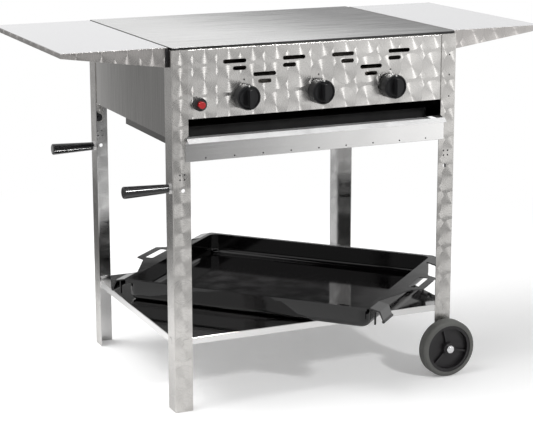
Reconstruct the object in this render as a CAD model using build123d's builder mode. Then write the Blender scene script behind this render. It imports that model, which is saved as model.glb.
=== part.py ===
from build123d import *
import os

os.makedirs("parts", exist_ok=True)

# Gas grill on a four-legged stand: a sheet-steel burner box with a flat griddle plate on top,
# two hang-on side shelves, a drip tray in a front slot, a pan on the lower shelf, two wheels.
# Millimetres, +Z up, the control panel faces -Y, the floor is Z = 0, the middle of the body is X = Y = 0.

# Body and stand, outside sizes
BODY_W = 770.0  # over the corner posts, along X
BODY_D = 620.0  # over the corner posts, along Y
TOP_Z = 900.0  # cooking surface and side shelf tops
TOP_STEP = 6.0  # cooking surface, above the top edge of the panels
POST_LEN = 215.0  # corner post, from the panels' top edge down to the leg

# Sheet and angle stock
SHEET = 1.5
ANGLE_T = 2.0
BEND_R = 3.0
LEG_FLANGE = 46.0
POST_FACE = 42.0  # post flange on the front and the rear
POST_SIDE = 46.0  # post flange on the left and the right
FOOT_RAISE = 22.0  # wheel-side legs stop short of the floor
PANEL_LAP = 8.0  # sheet hidden behind a post or leg flange

# Named clearances
SEAT = 0.3  # under a piece that lifts off
RUN = 0.3  # beside a piece that slides or turns
FIT = 0.05  # radial, shaft in its hole
BOLT_CLEAR = 0.2  # radial, bolt in its hole

# Leg holes
STUD_DOWN = 44.0  # below the leg's top
STUD_IN = 18.0  # from the outer side face
STUD_D = 8.0
NUT_D = 22.0
NUT_H = 10.0
STUD_PROUD = 4.0
SMALL_HOLE_D = 4.6
SMALL_PITCH = 12.0
SMALL_DOWN = 90.0  # below the leg's top
SMALL_IN = 25.0
BIG_HOLE_D = 10.0
BIG_HOLE_DOWN = 123.0  # below the leg's top
BIG_HOLE_IN = 27.0
TONGUE_W = 29.0
TONGUE_DROP = 57.0
TONGUE_RISE = 30.0
TONGUE_EDGE = 0.5  # from the side panel
POST_NOTCH = 10.0
POST_HOLE_D = 4.0
POST_HOLE_IN = 19.0
POST_HOLES_UP = (56.0, 111.0, 162.0)  # above the leg's top

# Lower shelf and the lugs that carry it
SHELF_Z = 187.0
SHELF_LIP = 17.0
SHELF_CORNER = 6.0
LUG_W = 14.0
LUG_OUT = 8.0
LUG_IN = 30.0  # lug middle, from the leg's outer corner
SLIT = 1.4
SLIT_H = 16.0
SLIT_W = 12.0

# Front beam
BEAM_DOWN = 7.0  # below the leg's top
BEAM_H = 47.0
BEAM_FLANGE = 75.0
BEAM_RETURN = 15.0
BEAM_OVER = 13.0  # face, over the front of a leg
BEAM_SIDE = 1.0  # flanges, from the leg
BEAM_HOLE_D = 4.0
BEAM_HOLE_PITCH = 75.0
BEAM_HOLE_COUNT = 9
BEAM_HOLE_UP = 7.0  # above the beam's lower edge

# Panels
PANEL_UP = 49.0  # control panel, above the leg's top; the tray slot is below it
SKIRT_UP = 1.0  # side panels, above the leg's top
RIM_FLANGE = 18.0
REAR_LEDGE = 60.0  # rear panel's lower flange, under the drip tray
PANEL_RETURN = 12.0
SIDE_END = 4.0  # side panel end, from the post's inner face

# Ventilation slots in the control panel
VENT_H = 10.0
VENT_LONG = 60.0
VENT_SHORT = 35.0
VENT_CLUSTER_X = 144.0
VENT_STEP_X = 78.0
VENT_DOWN = 34.0  # outer pairs, below the panel's top edge
VENT_DROP = 35.0  # middle pair below the outer pairs
VENT_PAIR = 17.5  # short slot below its long slot

# Knobs and valves
KNOB_PITCH = 198.0
KNOB_DOWN = 120.0  # knob axis, below the panel's top edge
KNOB_R = 31.0
KNOB_LEN = 24.0
KNOB_TAPER = 1.0
KNOB_EDGE = 3.0
KNOB_FACE_R = 27.0
KNOB_DISH = 3.0
KNOB_BORE = 18.0
POINTER_W = 11.0
POINTER_L = 42.0
POINTER_PROUD = 17.0
BEZEL_R = 29.0
BEZEL_T = 3.0
PUSH = 4.0
PUSH_SPARE = 1.0
STEM_R = 4.0
STEM_HOLE_R = 7.0
STEM_IN = 36.0  # stem end, behind the panel's face
COLLAR_R = 8.0
COLLAR_T = 6.0
COLLAR_IN = 5.0  # collar front, behind the panel's face
VALVE_R = 12.0
VALVE_BORE = 30.0
SADDLE_W = 30.0
SADDLE_H = 36.0
INDEX_HOLE_D = 4.4
INDEX_UP = 40.0

# Gas pipe and burners
PIPE_R = 10.0
PIPE_WALL = 1.5
PIPE_IN = 72.0  # pipe axis, behind the panel's face
PIPE_LEFT = 62.0  # beyond the left valve
INLET_GAP = 9.5  # pipe end, from the side panel
INLET_FLANGE_R = 14.0
INLET_HEX = 24.0
INLET_HEX_T = 8.0
INLET_THREAD_R = 9.0
INLET_THREAD_L = 19.0
INLET_BORE = 6.0
JET_R = 5.0
JET_LEN = 26.0
JET_INTO = 6.0
BURNER_R = 20.0
BURNER_WALL = 1.5
BURNER_LEN = 468.0
PORT_W = 3.0
PORT_L = 20.0
PORT_PITCH = 34.0
PORT_COUNT = 11
REST_T = 2.0
REST_BELOW = 32.0
REST_ABOVE = 32.0
REST_TAB = 16.0
REST_FRONT = 16.0  # behind the burner's mouth
REST_REAR = 22.0  # before the burner's closed end
STAY_X = 99.0
STAY_W = 20.0
STAY_H = 10.0

# Igniter
IGNITER_IN = 70.0  # from the left side of the body
IGNITER_DOWN = 11.0  # below the knob axis
IGNITER_FLANGE_R = 16.0
IGNITER_FLANGE_T = 14.0
IGNITER_R = 11.0
IGNITER_LEN = 46.0
IGNITER_NUT_R = 15.0
IGNITER_NUT_T = 6.0
BUTTON_R = 8.5
BUTTON_PROUD = 11.0
BUTTON_LEN = 23.0
BUTTON_TRAVEL = 5.0
BUTTON_EDGE = 2.0
BUTTON_SPARE = 3.0
LEAD_R = 1.5
LEAD_TURN = 0.43  # bend radius, as a share of the lead's sideways run
LEAD_CLEAR = 0.5
ELECTRODE_R = 4.0
ELECTRODE_LEN = 32.0
ELECTRODE_IN = 56.0  # behind the burner's mouth
CLIP_W = 12.0
CLIP_L = 14.0
CLIP_H = 16.0

# Griddle plate on the rim
PLATE_INSET = 3.0
PLATE_T = 3.0
PLATE_CORNER = 4.0
PLATE_EDGE = 1.2
RIB_T = 3.0
RIB_DROP = 12.0  # below the rim
RIB_CLEAR = 2.0

# Drip tray and its rails
TRAY_SIDE = 5.0  # from the post's inner edge
TRAY_H = 28.0
TRAY_T = 1.2
TRAY_FRONT = 58.0  # front wall, behind the panel's face
TRAY_REAR = 32.0
TRAY_LIP = 12.0
TRAY_CORNER = 10.0
PULL_OUT = 18.8  # pull lip, in front of the legs
PULL_HEM = 10.5  # folded front edge, its height and depth
PULL_OVER = 11.0  # pull lip, over the front of a leg
RAIL_LEN = 292.0
RAIL_HANG = 16.0  # below the side panel
RAIL_UP = 40.0
RAIL_LEDGE = 16.0  # under the tray
RAIL_FRONT = 2.0  # from the post flange
RAIL_CLEAR = 1.5  # ledge behind the beam flange

# Side shelves
WING_L = 260.0
WING_D = 586.0
WING_GAP = 2.0
WING_DEEP = 48.0  # flange at the body
WING_SHALLOW = 12.0  # flange at the free end
WING_EDGE = 1.2
HOOK_Y = 180.0
HOOK_W = 30.0
HOOK_T = 2.0
HOOK_DOWN = 34.0  # below the side panel's top edge
HOOK_LIP = 10.0
HOOK_REACH = 12.0
HOOK_LIFT = 12.0
HOOK_SIDE = 1.0
BUMPER_L = 6.0
BUMPER_T = 1.5
BUMPER_FOOT = 15.0
BUMPER_SHY = 1.0  # top and bottom, inside the flange

# Lifting handles on the left legs
GRIP_DOWN = 119.0  # below the leg's top
GRIP_LEN = 113.0
GRIP_R_IN = 10.7
GRIP_R_OUT = 14.8
GRIP_ROUND = 3.0
GRIP_BORE = 45.0
COLLAR_RING_R = 13.0
COLLAR_RING_T = 4.0
GRIP_STUD_R = 4.0
GRIP_NUT_R = 7.5
GRIP_NUT_T = 6.5

# Wheels on the right legs
WHEEL_R = 75.0
WHEEL_W = 34.0
WHEEL_GAP = 6.0  # from the leg's outer face
WHEEL_IN = 23.0  # axle, from the side of the body
TYRE_ROUND = 8.0
DISC_R = 62.0
DISC_RIM_R = 54.0
DISC_RIM_SET = 2.0
HUB_R = 16.0
WEB_IN = 12.0
WEB_T = 8.0
SPOKE_T = 5.0
SPOKE_H = 7.0
SPOKE_COUNT = 3
SPOKE_START = 105.0
AXLE_R = 6.0
AXLE_NUT_R = 10.0
AXLE_NUT_T = 8.0
SPACER_R = 11.0
CAP_R = 11.0
CAP_T = 8.0
CAP_ROUND = 5.0

# Pan on the lower shelf
PAN_X = 46.0
PAN_Y = 0.0
PAN_TURN = -47.0
PAN_L = 684.0
PAN_W = 543.0
PAN_H = 56.0
PAN_RIM_T = 2.0
PAN_RIM_W = 9.0  # flat rim outside the basin
PAN_RIM_DOWN = 8.0  # turned-down edge along the long sides
PAN_WALL = 2.0
PAN_CORNER = 24.0
PAN_FOOT_R = 16.0
PAN_RIM_CORNER = 8.0
FLAP_W = 66.0  # bent-down flap at each corner of the rim
FLAP_SIDE = 5.5  # from the rim's long side
FLAP_IN = 6.0  # root on the rim
FLAP_FLAT = 26.0  # nearly level part of the flap
FLAP_SAG = 6.0
FLAP_OUT = 36.0
FLAP_DROP = 32.0
FLAP_T = 3.0
FLAP_BEAD_R = 4.0
PRONG_W = 7.0
PRONG_OUT = 12.0  # from the rim's end
PRONG_T = 3.0
PRONG_DROP = 42.0  # below the rim's top
EAR_BASE = 380.0
EAR_SHOULDER = 146.0
EAR_TIP = 116.0
EAR_NECK = 43.0
EAR_OUT = 70.0
EAR_ROUND = 6.0
EAR_SLOT_L = 98.0
EAR_SLOT_W = 24.0
EAR_SLOT_OUT = 39.0
EAR_SLOT_ROUND = 6.0

# Derived places
HALF_W = BODY_W / 2
HALF_D = BODY_D / 2
RIM_Z = TOP_Z - TOP_STEP  # top edge of the panels and posts
LEG_TOP = RIM_Z - POST_LEN  # joint between a leg and its corner post
STUD_Z = LEG_TOP - STUD_DOWN
SMALL_Z = LEG_TOP - SMALL_DOWN
BIG_HOLE_Z = LEG_TOP - BIG_HOLE_DOWN
GRIP_Z = LEG_TOP - GRIP_DOWN
BEAM_TOP = LEG_TOP - BEAM_DOWN
PANEL_BOTTOM = LEG_TOP + PANEL_UP
SKIRT_BOTTOM = LEG_TOP + SKIRT_UP
VENT_TOP_Z = RIM_Z - VENT_DOWN
HOOK_Z = RIM_Z - HOOK_DOWN
KNOB_Z = RIM_Z - KNOB_DOWN
IGNITER_X = IGNITER_IN - HALF_W
IGNITER_Z = KNOB_Z - IGNITER_DOWN
FACE_Y = HALF_D - ANGLE_T  # inner face of the post and leg flanges, front and rear
SIDE_X = HALF_W - ANGLE_T  # inner face of the flanges, left and right
INNER_X = SIDE_X - SHEET  # inner face of the side panels
PANEL_HALF = HALF_W - POST_FACE + PANEL_LAP
BEAM_FACE_HALF = HALF_W - LEG_FLANGE + BEAM_OVER
BEAM_FLANGE_HALF = HALF_W - LEG_FLANGE - BEAM_SIDE
KNOB_BACK = BEZEL_T + PUSH + PUSH_SPARE
VALVE_IN = COLLAR_IN + COLLAR_T + PUSH + PUSH_SPARE
PIPE_Y = PIPE_IN - FACE_Y
BURNER_Y = PIPE_Y + PIPE_R + JET_LEN - JET_INTO
ELECTRODE_Y = BURNER_Y + ELECTRODE_IN
TRAY_HALF = HALF_W - POST_FACE - TRAY_SIDE
TRAY_Z = BEAM_TOP + RUN
PULL_Y = HALF_D + PULL_OUT
PULL_HALF = HALF_W - LEG_FLANGE + PULL_OVER
WHEEL_X = HALF_W - WHEEL_IN
GRIP_Y = HALF_D - LEG_FLANGE / 2
WING_X = HALF_W + WING_GAP
PAN_Z = SHELF_Z + SEAT
PAN_RIM_Z = PAN_Z + PAN_H
BASIN_L = PAN_L - 2 * PAN_RIM_W
BASIN_W = PAN_W - 2 * PAN_RIM_W
KNOBS = (("left", -KNOB_PITCH), ("middle", 0.0), ("right", KNOB_PITCH))
CORNERS = (
    ("front_left", -1, -1),
    ("front_right", 1, -1),
    ("rear_left", -1, 1),
    ("rear_right", 1, 1),
)
ENDS = (("front", -1), ("rear", 1))
SIDES = (("left", -1), ("right", 1))


def save(builder, name):
    """Label a finished piece and write its file."""
    builder.part.label = name
    export_step(builder.part, f"parts/{name}.step")


def front_plane(depth):
    """Upright plane at a depth behind the control panel's face; local X is X, local Y is Z."""
    return Plane.XZ.offset(FACE_Y - depth)


def axial_plane(x, y, z):
    """Plane through a Y axis at (x, z): local X runs along +Y from y, local Y is the radius, up."""
    return Plane(origin=(x, y, z), x_dir=(0, 1, 0), z_dir=(1, 0, 0))


def y_axis(x, z):
    return Axis((x, 0, z), (0, 1, 0))


# Legs: angle section, with lugs under the lower shelf
def make_leg(name, sx, sy):
    cx = sx * HALF_W
    cy = sy * HALF_D
    foot = FOOT_RAISE if sx > 0 else 0.0
    lug_z = SHELF_Z - SHELF_LIP
    with BuildPart() as leg:
        with BuildSketch(Plane.XY.offset(foot)) as section:
            Polygon(
                (cx, cy),
                (cx - sx * LEG_FLANGE, cy),
                (cx - sx * LEG_FLANGE, cy - sy * ANGLE_T),
                (cx - sx * ANGLE_T, cy - sy * ANGLE_T),
                (cx - sx * ANGLE_T, cy - sy * LEG_FLANGE),
                (cx, cy - sy * LEG_FLANGE),
                align=None,
            )
            fillet(section.vertices().sort_by_distance((cx, cy))[0], BEND_R)
        extrude(amount=LEG_TOP - foot)
        with BuildSketch(Plane.XY.offset(lug_z - ANGLE_T)):
            with Locations((cx - sx * LUG_IN, cy - sy * (ANGLE_T + LUG_OUT / 2))):
                Rectangle(LUG_W, LUG_OUT)
            with Locations((cx - sx * (ANGLE_T + LUG_OUT / 2), cy - sy * LUG_IN)):
                Rectangle(LUG_OUT, LUG_W)
        extrude(amount=ANGLE_T)
        with BuildSketch(Plane.XZ.offset(-cy)):
            with Locations((cx - sx * SMALL_IN, SMALL_Z)):
                with GridLocations(SMALL_PITCH, SMALL_PITCH, 2, 2):
                    Circle(SMALL_HOLE_D / 2)
            with Locations((cx - sx * BIG_HOLE_IN, BIG_HOLE_Z)):
                Circle(BIG_HOLE_D / 2)
            with Locations((cx - sx * (LUG_IN - LUG_W / 2), lug_z + SLIT_H / 2)):
                Rectangle(SLIT, SLIT_H)
            with Locations((cx - sx * (LUG_IN - LUG_W / 2 + SLIT_W / 2), lug_z + SLIT_H)):
                Rectangle(SLIT_W + SLIT, SLIT)
            if sx > 0:
                with Locations((WHEEL_X, WHEEL_R)):
                    Circle(AXLE_R + BOLT_CLEAR)
        extrude(amount=ANGLE_T, both=True, mode=Mode.SUBTRACT)
        with BuildSketch(Plane.YZ.offset(cx)):
            with Locations((cy - sy * (LUG_IN - LUG_W / 2), lug_z + SLIT_H / 2)):
                Rectangle(SLIT, SLIT_H)
            with Locations((cy - sy * (LUG_IN - LUG_W / 2 + SLIT_W / 2), lug_z + SLIT_H)):
                Rectangle(SLIT_W + SLIT, SLIT)
            if sx < 0:
                with Locations((sy * GRIP_Y, GRIP_Z)):
                    Circle(GRIP_STUD_R + BOLT_CLEAR)
        extrude(amount=ANGLE_T, both=True, mode=Mode.SUBTRACT)
    save(leg, f"leg_{name}")


for corner, side, end in CORNERS:
    make_leg(corner, side, end)


# Corner posts of the burner box, each with a tongue that drops inside its leg
def make_post(name, sx, sy):
    cx = sx * HALF_W
    cy = sy * HALF_D
    tongue_x = INNER_X - TONGUE_EDGE - TONGUE_W / 2
    with BuildPart() as post:
        with BuildSketch(Plane.XY.offset(LEG_TOP)) as section:
            Polygon(
                (cx, cy),
                (cx - sx * POST_FACE, cy),
                (cx - sx * POST_FACE, cy - sy * ANGLE_T),
                (cx - sx * ANGLE_T, cy - sy * ANGLE_T),
                (cx - sx * ANGLE_T, cy - sy * POST_SIDE),
                (cx, cy - sy * POST_SIDE),
                align=None,
            )
            fillet(section.vertices().sort_by_distance((cx, cy))[0], BEND_R)
        extrude(amount=RIM_Z - LEG_TOP)
        with BuildSketch(Plane.XZ.offset(-sy * FACE_Y)):
            with Locations((sx * tongue_x, LEG_TOP + (TONGUE_RISE - TONGUE_DROP) / 2)):
                Rectangle(TONGUE_W, TONGUE_RISE + TONGUE_DROP)
            with Locations((cx - sx * STUD_IN, STUD_Z)):
                Circle(STUD_D / 2 + BOLT_CLEAR, mode=Mode.SUBTRACT)
        extrude(amount=sy * ANGLE_T)
        with BuildSketch(Plane.XZ.offset(-cy)):
            Polygon(
                (cx - sx * POST_FACE, LEG_TOP),
                (cx - sx * (POST_FACE - POST_NOTCH), LEG_TOP),
                (cx - sx * POST_FACE, LEG_TOP + POST_NOTCH),
                align=None,
            )
            if sx > 0 and sy < 0:
                for hole_up in POST_HOLES_UP:
                    with Locations((cx - POST_HOLE_IN, LEG_TOP + hole_up)):
                        Circle(POST_HOLE_D / 2)
        extrude(amount=ANGLE_T, both=True, mode=Mode.SUBTRACT)
    save(post, f"post_{name}")


for corner, side, end in CORNERS:
    make_post(corner, side, end)

# Welded studs and round nuts that hold the burner box on the stand
with BuildPart() as body_fixings:
    for corner, side, end in CORNERS:
        fix_x = side * (HALF_W - STUD_IN)
        nut_y = FACE_Y - ANGLE_T
        with BuildSketch(axial_plane(fix_x, 0, STUD_Z)):
            Polygon(
                (end * FACE_Y, 0),
                (end * FACE_Y, STUD_D / 2),
                (end * nut_y, STUD_D / 2),
                (end * nut_y, NUT_D / 2),
                (end * (nut_y - NUT_H), NUT_D / 2),
                (end * (nut_y - NUT_H), STUD_D / 2),
                (end * (nut_y - NUT_H - STUD_PROUD), STUD_D / 2),
                (end * (nut_y - NUT_H - STUD_PROUD), 0),
                align=None,
            )
        revolve(axis=y_axis(fix_x, STUD_Z))
save(body_fixings, "body_fixings")

# Control panel: folded front with vents, stem holes and the igniter hole
with BuildPart() as control_panel:
    with BuildSketch(Plane.YZ.offset(-PANEL_HALF)) as panel_section:
        Polygon(
            (-FACE_Y, PANEL_BOTTOM),
            (-FACE_Y, RIM_Z),
            (-FACE_Y + RIM_FLANGE, RIM_Z),
            (-FACE_Y + RIM_FLANGE, RIM_Z - SHEET),
            (-FACE_Y + SHEET, RIM_Z - SHEET),
            (-FACE_Y + SHEET, PANEL_BOTTOM + SHEET),
            (-FACE_Y + PANEL_RETURN, PANEL_BOTTOM + SHEET),
            (-FACE_Y + PANEL_RETURN, PANEL_BOTTOM),
            align=None,
        )
        fillet(panel_section.vertices().sort_by_distance((-FACE_Y, RIM_Z))[0], BEND_R)
    extrude(amount=2 * PANEL_HALF)
    with BuildSketch(front_plane(0)):
        for cluster in (-1, 1):
            for step in (-1, 0, 1):
                vent_x = cluster * VENT_CLUSTER_X + step * VENT_STEP_X
                vent_z = VENT_TOP_Z - (0 if step else VENT_DROP)
                inward = -step * (VENT_LONG - VENT_SHORT) / 2
                with Locations((vent_x, vent_z)):
                    SlotOverall(VENT_LONG, VENT_H)
                with Locations((vent_x + inward, vent_z - VENT_PAIR)):
                    SlotOverall(VENT_SHORT, VENT_H)
        for knob_name, knob_x in KNOBS:
            with Locations((knob_x, KNOB_Z)):
                Circle(STEM_HOLE_R)
            with Locations((knob_x, KNOB_Z + INDEX_UP)):
                Circle(INDEX_HOLE_D / 2)
        with Locations((IGNITER_X, IGNITER_Z)):
            Circle(IGNITER_R + BOLT_CLEAR)
    extrude(amount=-SHEET, mode=Mode.SUBTRACT)
save(control_panel, "control_panel")


# Side panels, with hook slots for the side shelves and, on the right, the gas inlet hole
def make_side_panel(name, sx):
    outer = sx * SIDE_X
    with BuildPart() as side_panel:
        with BuildSketch(Plane.XZ.offset(-(FACE_Y - SIDE_END))) as side_section:
            Polygon(
                (outer, SKIRT_BOTTOM),
                (outer, RIM_Z),
                (outer - sx * RIM_FLANGE, RIM_Z),
                (outer - sx * RIM_FLANGE, RIM_Z - SHEET),
                (outer - sx * SHEET, RIM_Z - SHEET),
                (outer - sx * SHEET, SKIRT_BOTTOM),
                align=None,
            )
            fillet(side_section.vertices().sort_by_distance((outer, RIM_Z))[0], BEND_R)
        extrude(amount=2 * (FACE_Y - SIDE_END))
        slot_bottom = HOOK_Z - SEAT
        slot_top = HOOK_Z + HOOK_T + HOOK_LIFT + HOOK_T
        with BuildSketch(Plane.YZ.offset(outer)):
            for hook_side in (-1, 1):
                with Locations((hook_side * HOOK_Y, (slot_bottom + slot_top) / 2)):
                    Rectangle(HOOK_W + 2 * HOOK_SIDE, slot_top - slot_bottom)
            if sx > 0:
                with Locations((PIPE_Y, KNOB_Z)):
                    Circle(PIPE_R + BOLT_CLEAR)
        extrude(amount=-sx * SHEET, mode=Mode.SUBTRACT)
    save(side_panel, f"side_panel_{name}")


for side_name, side in SIDES:
    make_side_panel(side_name, side)

# Rear panel
with BuildPart() as rear_panel:
    with BuildSketch(Plane.YZ.offset(-PANEL_HALF)) as rear_section:
        Polygon(
            (FACE_Y, BEAM_TOP - SHEET),
            (FACE_Y, RIM_Z),
            (FACE_Y - RIM_FLANGE, RIM_Z),
            (FACE_Y - RIM_FLANGE, RIM_Z - SHEET),
            (FACE_Y - SHEET, RIM_Z - SHEET),
            (FACE_Y - SHEET, BEAM_TOP),
            (FACE_Y - REAR_LEDGE, BEAM_TOP),
            (FACE_Y - REAR_LEDGE, BEAM_TOP - SHEET),
            align=None,
        )
        fillet(rear_section.vertices().sort_by_distance((FACE_Y, RIM_Z))[0], BEND_R)
        fillet(rear_section.vertices().sort_by_distance((FACE_Y, BEAM_TOP - SHEET))[0], BEND_R)
    extrude(amount=2 * PANEL_HALF)
save(rear_panel, "rear_panel")


# Front beam: a channel on the front of the legs, its wide top flange carries the drip tray
beam_face = -HALF_D - SHEET
beam_bottom = BEAM_TOP - BEAM_H
with BuildPart() as front_beam:
    with BuildSketch(Plane.YZ.offset(-BEAM_FACE_HALF)) as beam_section:
        Polygon(
            (beam_face, beam_bottom),
            (beam_face, BEAM_TOP),
            (BEAM_FLANGE - FACE_Y, BEAM_TOP),
            (BEAM_FLANGE - FACE_Y, BEAM_TOP - SHEET),
            (beam_face + SHEET, BEAM_TOP - SHEET),
            (beam_face + SHEET, beam_bottom + SHEET),
            (beam_face + BEAM_RETURN, beam_bottom + SHEET),
            (beam_face + BEAM_RETURN, beam_bottom),
            align=None,
        )
        fillet(beam_section.vertices().sort_by_distance((beam_face, BEAM_TOP))[0], BEND_R)
        fillet(beam_section.vertices().sort_by_distance((beam_face, beam_bottom))[0], SHEET / 2)
    extrude(amount=2 * BEAM_FACE_HALF)
    with BuildSketch(Plane.XZ.offset(-beam_face)):
        with Locations((0, beam_bottom + BEAM_HOLE_UP)):
            with GridLocations(BEAM_HOLE_PITCH, 1, BEAM_HOLE_COUNT, 1):
                Circle(BEAM_HOLE_D / 2)
    extrude(amount=-SHEET, mode=Mode.SUBTRACT)
    with BuildSketch(Plane.XY.offset(beam_bottom)):
        for end_side in (-1, 1):
            with Locations((end_side * (BEAM_FLANGE_HALF + BEAM_FACE_HALF) / 2, BEAM_FLANGE / 2 - HALF_D)):
                Rectangle(BEAM_FACE_HALF - BEAM_FLANGE_HALF, BEAM_FLANGE)
    extrude(amount=BEAM_H, mode=Mode.SUBTRACT)
save(front_beam, "front_beam")


# Tray rails: angles on the side panels, which hang below them
def make_rail(name, sx):
    rail_front = HALF_D - POST_SIDE - RAIL_FRONT
    ledge_front = FACE_Y - BEAM_FLANGE - RAIL_CLEAR
    ledge_in = TRAY_HALF - RAIL_LEDGE
    with BuildPart() as rail:
        with BuildSketch(Plane.XY.offset(SKIRT_BOTTOM - RAIL_HANG)):
            with Locations((sx * (INNER_X - SHEET / 2), RAIL_LEN / 2 - rail_front)):
                Rectangle(SHEET, RAIL_LEN)
        extrude(amount=RAIL_HANG + RAIL_UP)
        with BuildSketch(Plane.XY.offset(BEAM_TOP - SHEET)):
            with Locations((sx * (INNER_X - SHEET + ledge_in) / 2, (RAIL_LEN - rail_front - ledge_front) / 2)):
                Rectangle(INNER_X - SHEET - ledge_in, RAIL_LEN - rail_front + ledge_front)
        extrude(amount=SHEET)
    save(rail, f"tray_rail_{name}")


for side_name, side in SIDES:
    make_rail(side_name, side)

# Drip tray: open pan that slides out through the front slot
tray_y0 = TRAY_FRONT - FACE_Y
tray_y1 = FACE_Y - TRAY_REAR
tray_mid = (tray_y0 + tray_y1) / 2
with BuildPart() as drip_tray:
    with BuildSketch(Plane.XY.offset(TRAY_Z)):
        with Locations((0, tray_mid)):
            RectangleRounded(2 * TRAY_HALF, tray_y1 - tray_y0, TRAY_CORNER)
    extrude(amount=TRAY_H)
    with BuildSketch(Plane.XY.offset(TRAY_Z + TRAY_T)):
        with Locations((0, tray_mid)):
            RectangleRounded(
                2 * (TRAY_HALF - TRAY_T), tray_y1 - tray_y0 - 2 * TRAY_T, TRAY_CORNER - TRAY_T
            )
    extrude(amount=TRAY_H - TRAY_T, mode=Mode.SUBTRACT)
    with BuildSketch(Plane.XY.offset(TRAY_Z + TRAY_H - TRAY_T)):
        with Locations((0, tray_y0 - TRAY_LIP / 2 + TRAY_T / 2)):
            Rectangle(2 * (TRAY_HALF - TRAY_CORNER), TRAY_LIP + TRAY_T)
    extrude(amount=TRAY_T)
save(drip_tray, "drip_tray")

# Pull lip with a folded front edge, welded edge to edge to the tray's front wall; its ends stop
# against the front of the legs
pull_back = PULL_HEM - PULL_Y
with BuildPart() as tray_pull:
    with BuildSketch(Plane.YZ.offset(-PULL_HALF)):
        Polygon(
            (-PULL_Y, TRAY_Z),
            (-PULL_Y, TRAY_Z + TRAY_T),
            (pull_back, TRAY_Z + PULL_HEM),
            (pull_back, TRAY_Z),
            align=None,
        )
        offset(amount=-TRAY_T, kind=Kind.INTERSECTION, mode=Mode.SUBTRACT)
        with Locations(((tray_y0 + pull_back) / 2, TRAY_Z + TRAY_T / 2)):
            Rectangle(tray_y0 - pull_back, TRAY_T)
    extrude(amount=2 * PULL_HALF)
    with BuildSketch(Plane.XY.offset(TRAY_Z)):
        for end_side in (-1, 1):
            with Locations((end_side * (TRAY_HALF + PULL_HALF) / 2, (tray_y0 - HALF_D - RUN) / 2)):
                Rectangle(PULL_HALF - TRAY_HALF, tray_y0 + HALF_D + RUN)
    extrude(amount=TRAY_T, mode=Mode.SUBTRACT)
save(tray_pull, "tray_pull")

# Lower shelf: sheet with turned-down edges, on the leg lugs
with BuildPart() as lower_shelf:
    with BuildSketch(Plane.XY.offset(SHELF_Z)):
        RectangleRounded(2 * SIDE_X, 2 * FACE_Y, SHELF_CORNER)
    extrude(amount=-SHELF_LIP)
    fillet(lower_shelf.faces().sort_by(Axis.Z)[-1].edges(), SHEET)
    with BuildSketch(Plane.XY.offset(SHELF_Z - SHEET)):
        RectangleRounded(2 * (SIDE_X - SHEET), 2 * (FACE_Y - SHEET), SHELF_CORNER - SHEET)
    extrude(amount=SHEET - SHELF_LIP, mode=Mode.SUBTRACT)
save(lower_shelf, "lower_shelf")

# Griddle plate: flat plate with a short turned-down edge and two ribs that locate it in the rim
plate_w = 2 * (HALF_W - PLATE_INSET)
plate_d = 2 * (HALF_D - PLATE_INSET)
rib_half = SIDE_X - RIM_FLANGE - RIB_CLEAR
rib_y = FACE_Y - RIM_FLANGE - RIB_CLEAR - RIB_T / 2
with BuildPart() as griddle_plate:
    with BuildSketch(Plane.XY.offset(TOP_Z)):
        RectangleRounded(plate_w, plate_d, PLATE_CORNER)
    extrude(amount=RIM_Z + SEAT - TOP_Z)
    fillet(griddle_plate.faces().sort_by(Axis.Z)[-1].edges(), PLATE_EDGE)
    with BuildSketch(Plane.XY.offset(TOP_Z - PLATE_T)):
        RectangleRounded(plate_w - 2 * PLATE_T, plate_d - 2 * PLATE_T, PLATE_CORNER - PLATE_T)
    extrude(amount=RIM_Z + SEAT - TOP_Z + PLATE_T, mode=Mode.SUBTRACT)
    with BuildSketch(Plane.XY.offset(TOP_Z - PLATE_T)):
        with GridLocations(1, 2 * rib_y, 1, 2):
            Rectangle(2 * rib_half, RIB_T)
    extrude(amount=RIM_Z - RIB_DROP - TOP_Z + PLATE_T)
save(griddle_plate, "griddle_plate")


# Side shelves: sheet with tapering flanges, two hooks drop into the side panel's slots
def make_wing(name, sx):
    root = sx * WING_X
    tip = sx * (WING_X + WING_L)
    with BuildPart() as wing:
        with BuildSketch(Plane.XZ.offset(-WING_D / 2)):
            Polygon(
                (root, TOP_Z),
                (tip, TOP_Z),
                (tip, TOP_Z - WING_SHALLOW),
                (root, TOP_Z - WING_DEEP),
                align=None,
            )
        extrude(amount=WING_D)
        fillet(wing.faces().sort_by(Axis.Z)[-1].edges(), WING_EDGE)
        with BuildSketch(Plane.XY.offset(TOP_Z - SHEET)):
            with Locations(((root + tip) / 2, 0)):
                Rectangle(WING_L - 2 * SHEET, WING_D - 2 * SHEET)
        extrude(amount=SHEET - WING_DEEP, mode=Mode.SUBTRACT)
        with BuildSketch(Plane.XZ.offset(-HOOK_Y - HOOK_W / 2)):
            Polygon(
                (root, HOOK_Z),
                (root, HOOK_Z + HOOK_T),
                (root - sx * HOOK_REACH, HOOK_Z + HOOK_T),
                (root - sx * HOOK_REACH, HOOK_Z - HOOK_LIP),
                (root - sx * (HOOK_REACH - HOOK_T), HOOK_Z - HOOK_LIP),
                (root - sx * (HOOK_REACH - HOOK_T), HOOK_Z),
                align=None,
            )
        hooks = extrude(amount=HOOK_W)
        mirror(hooks, about=Plane.XZ)
    save(wing, f"side_shelf_{name}")


for side_name, side in SIDES:
    make_wing(side_name, side)

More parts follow.
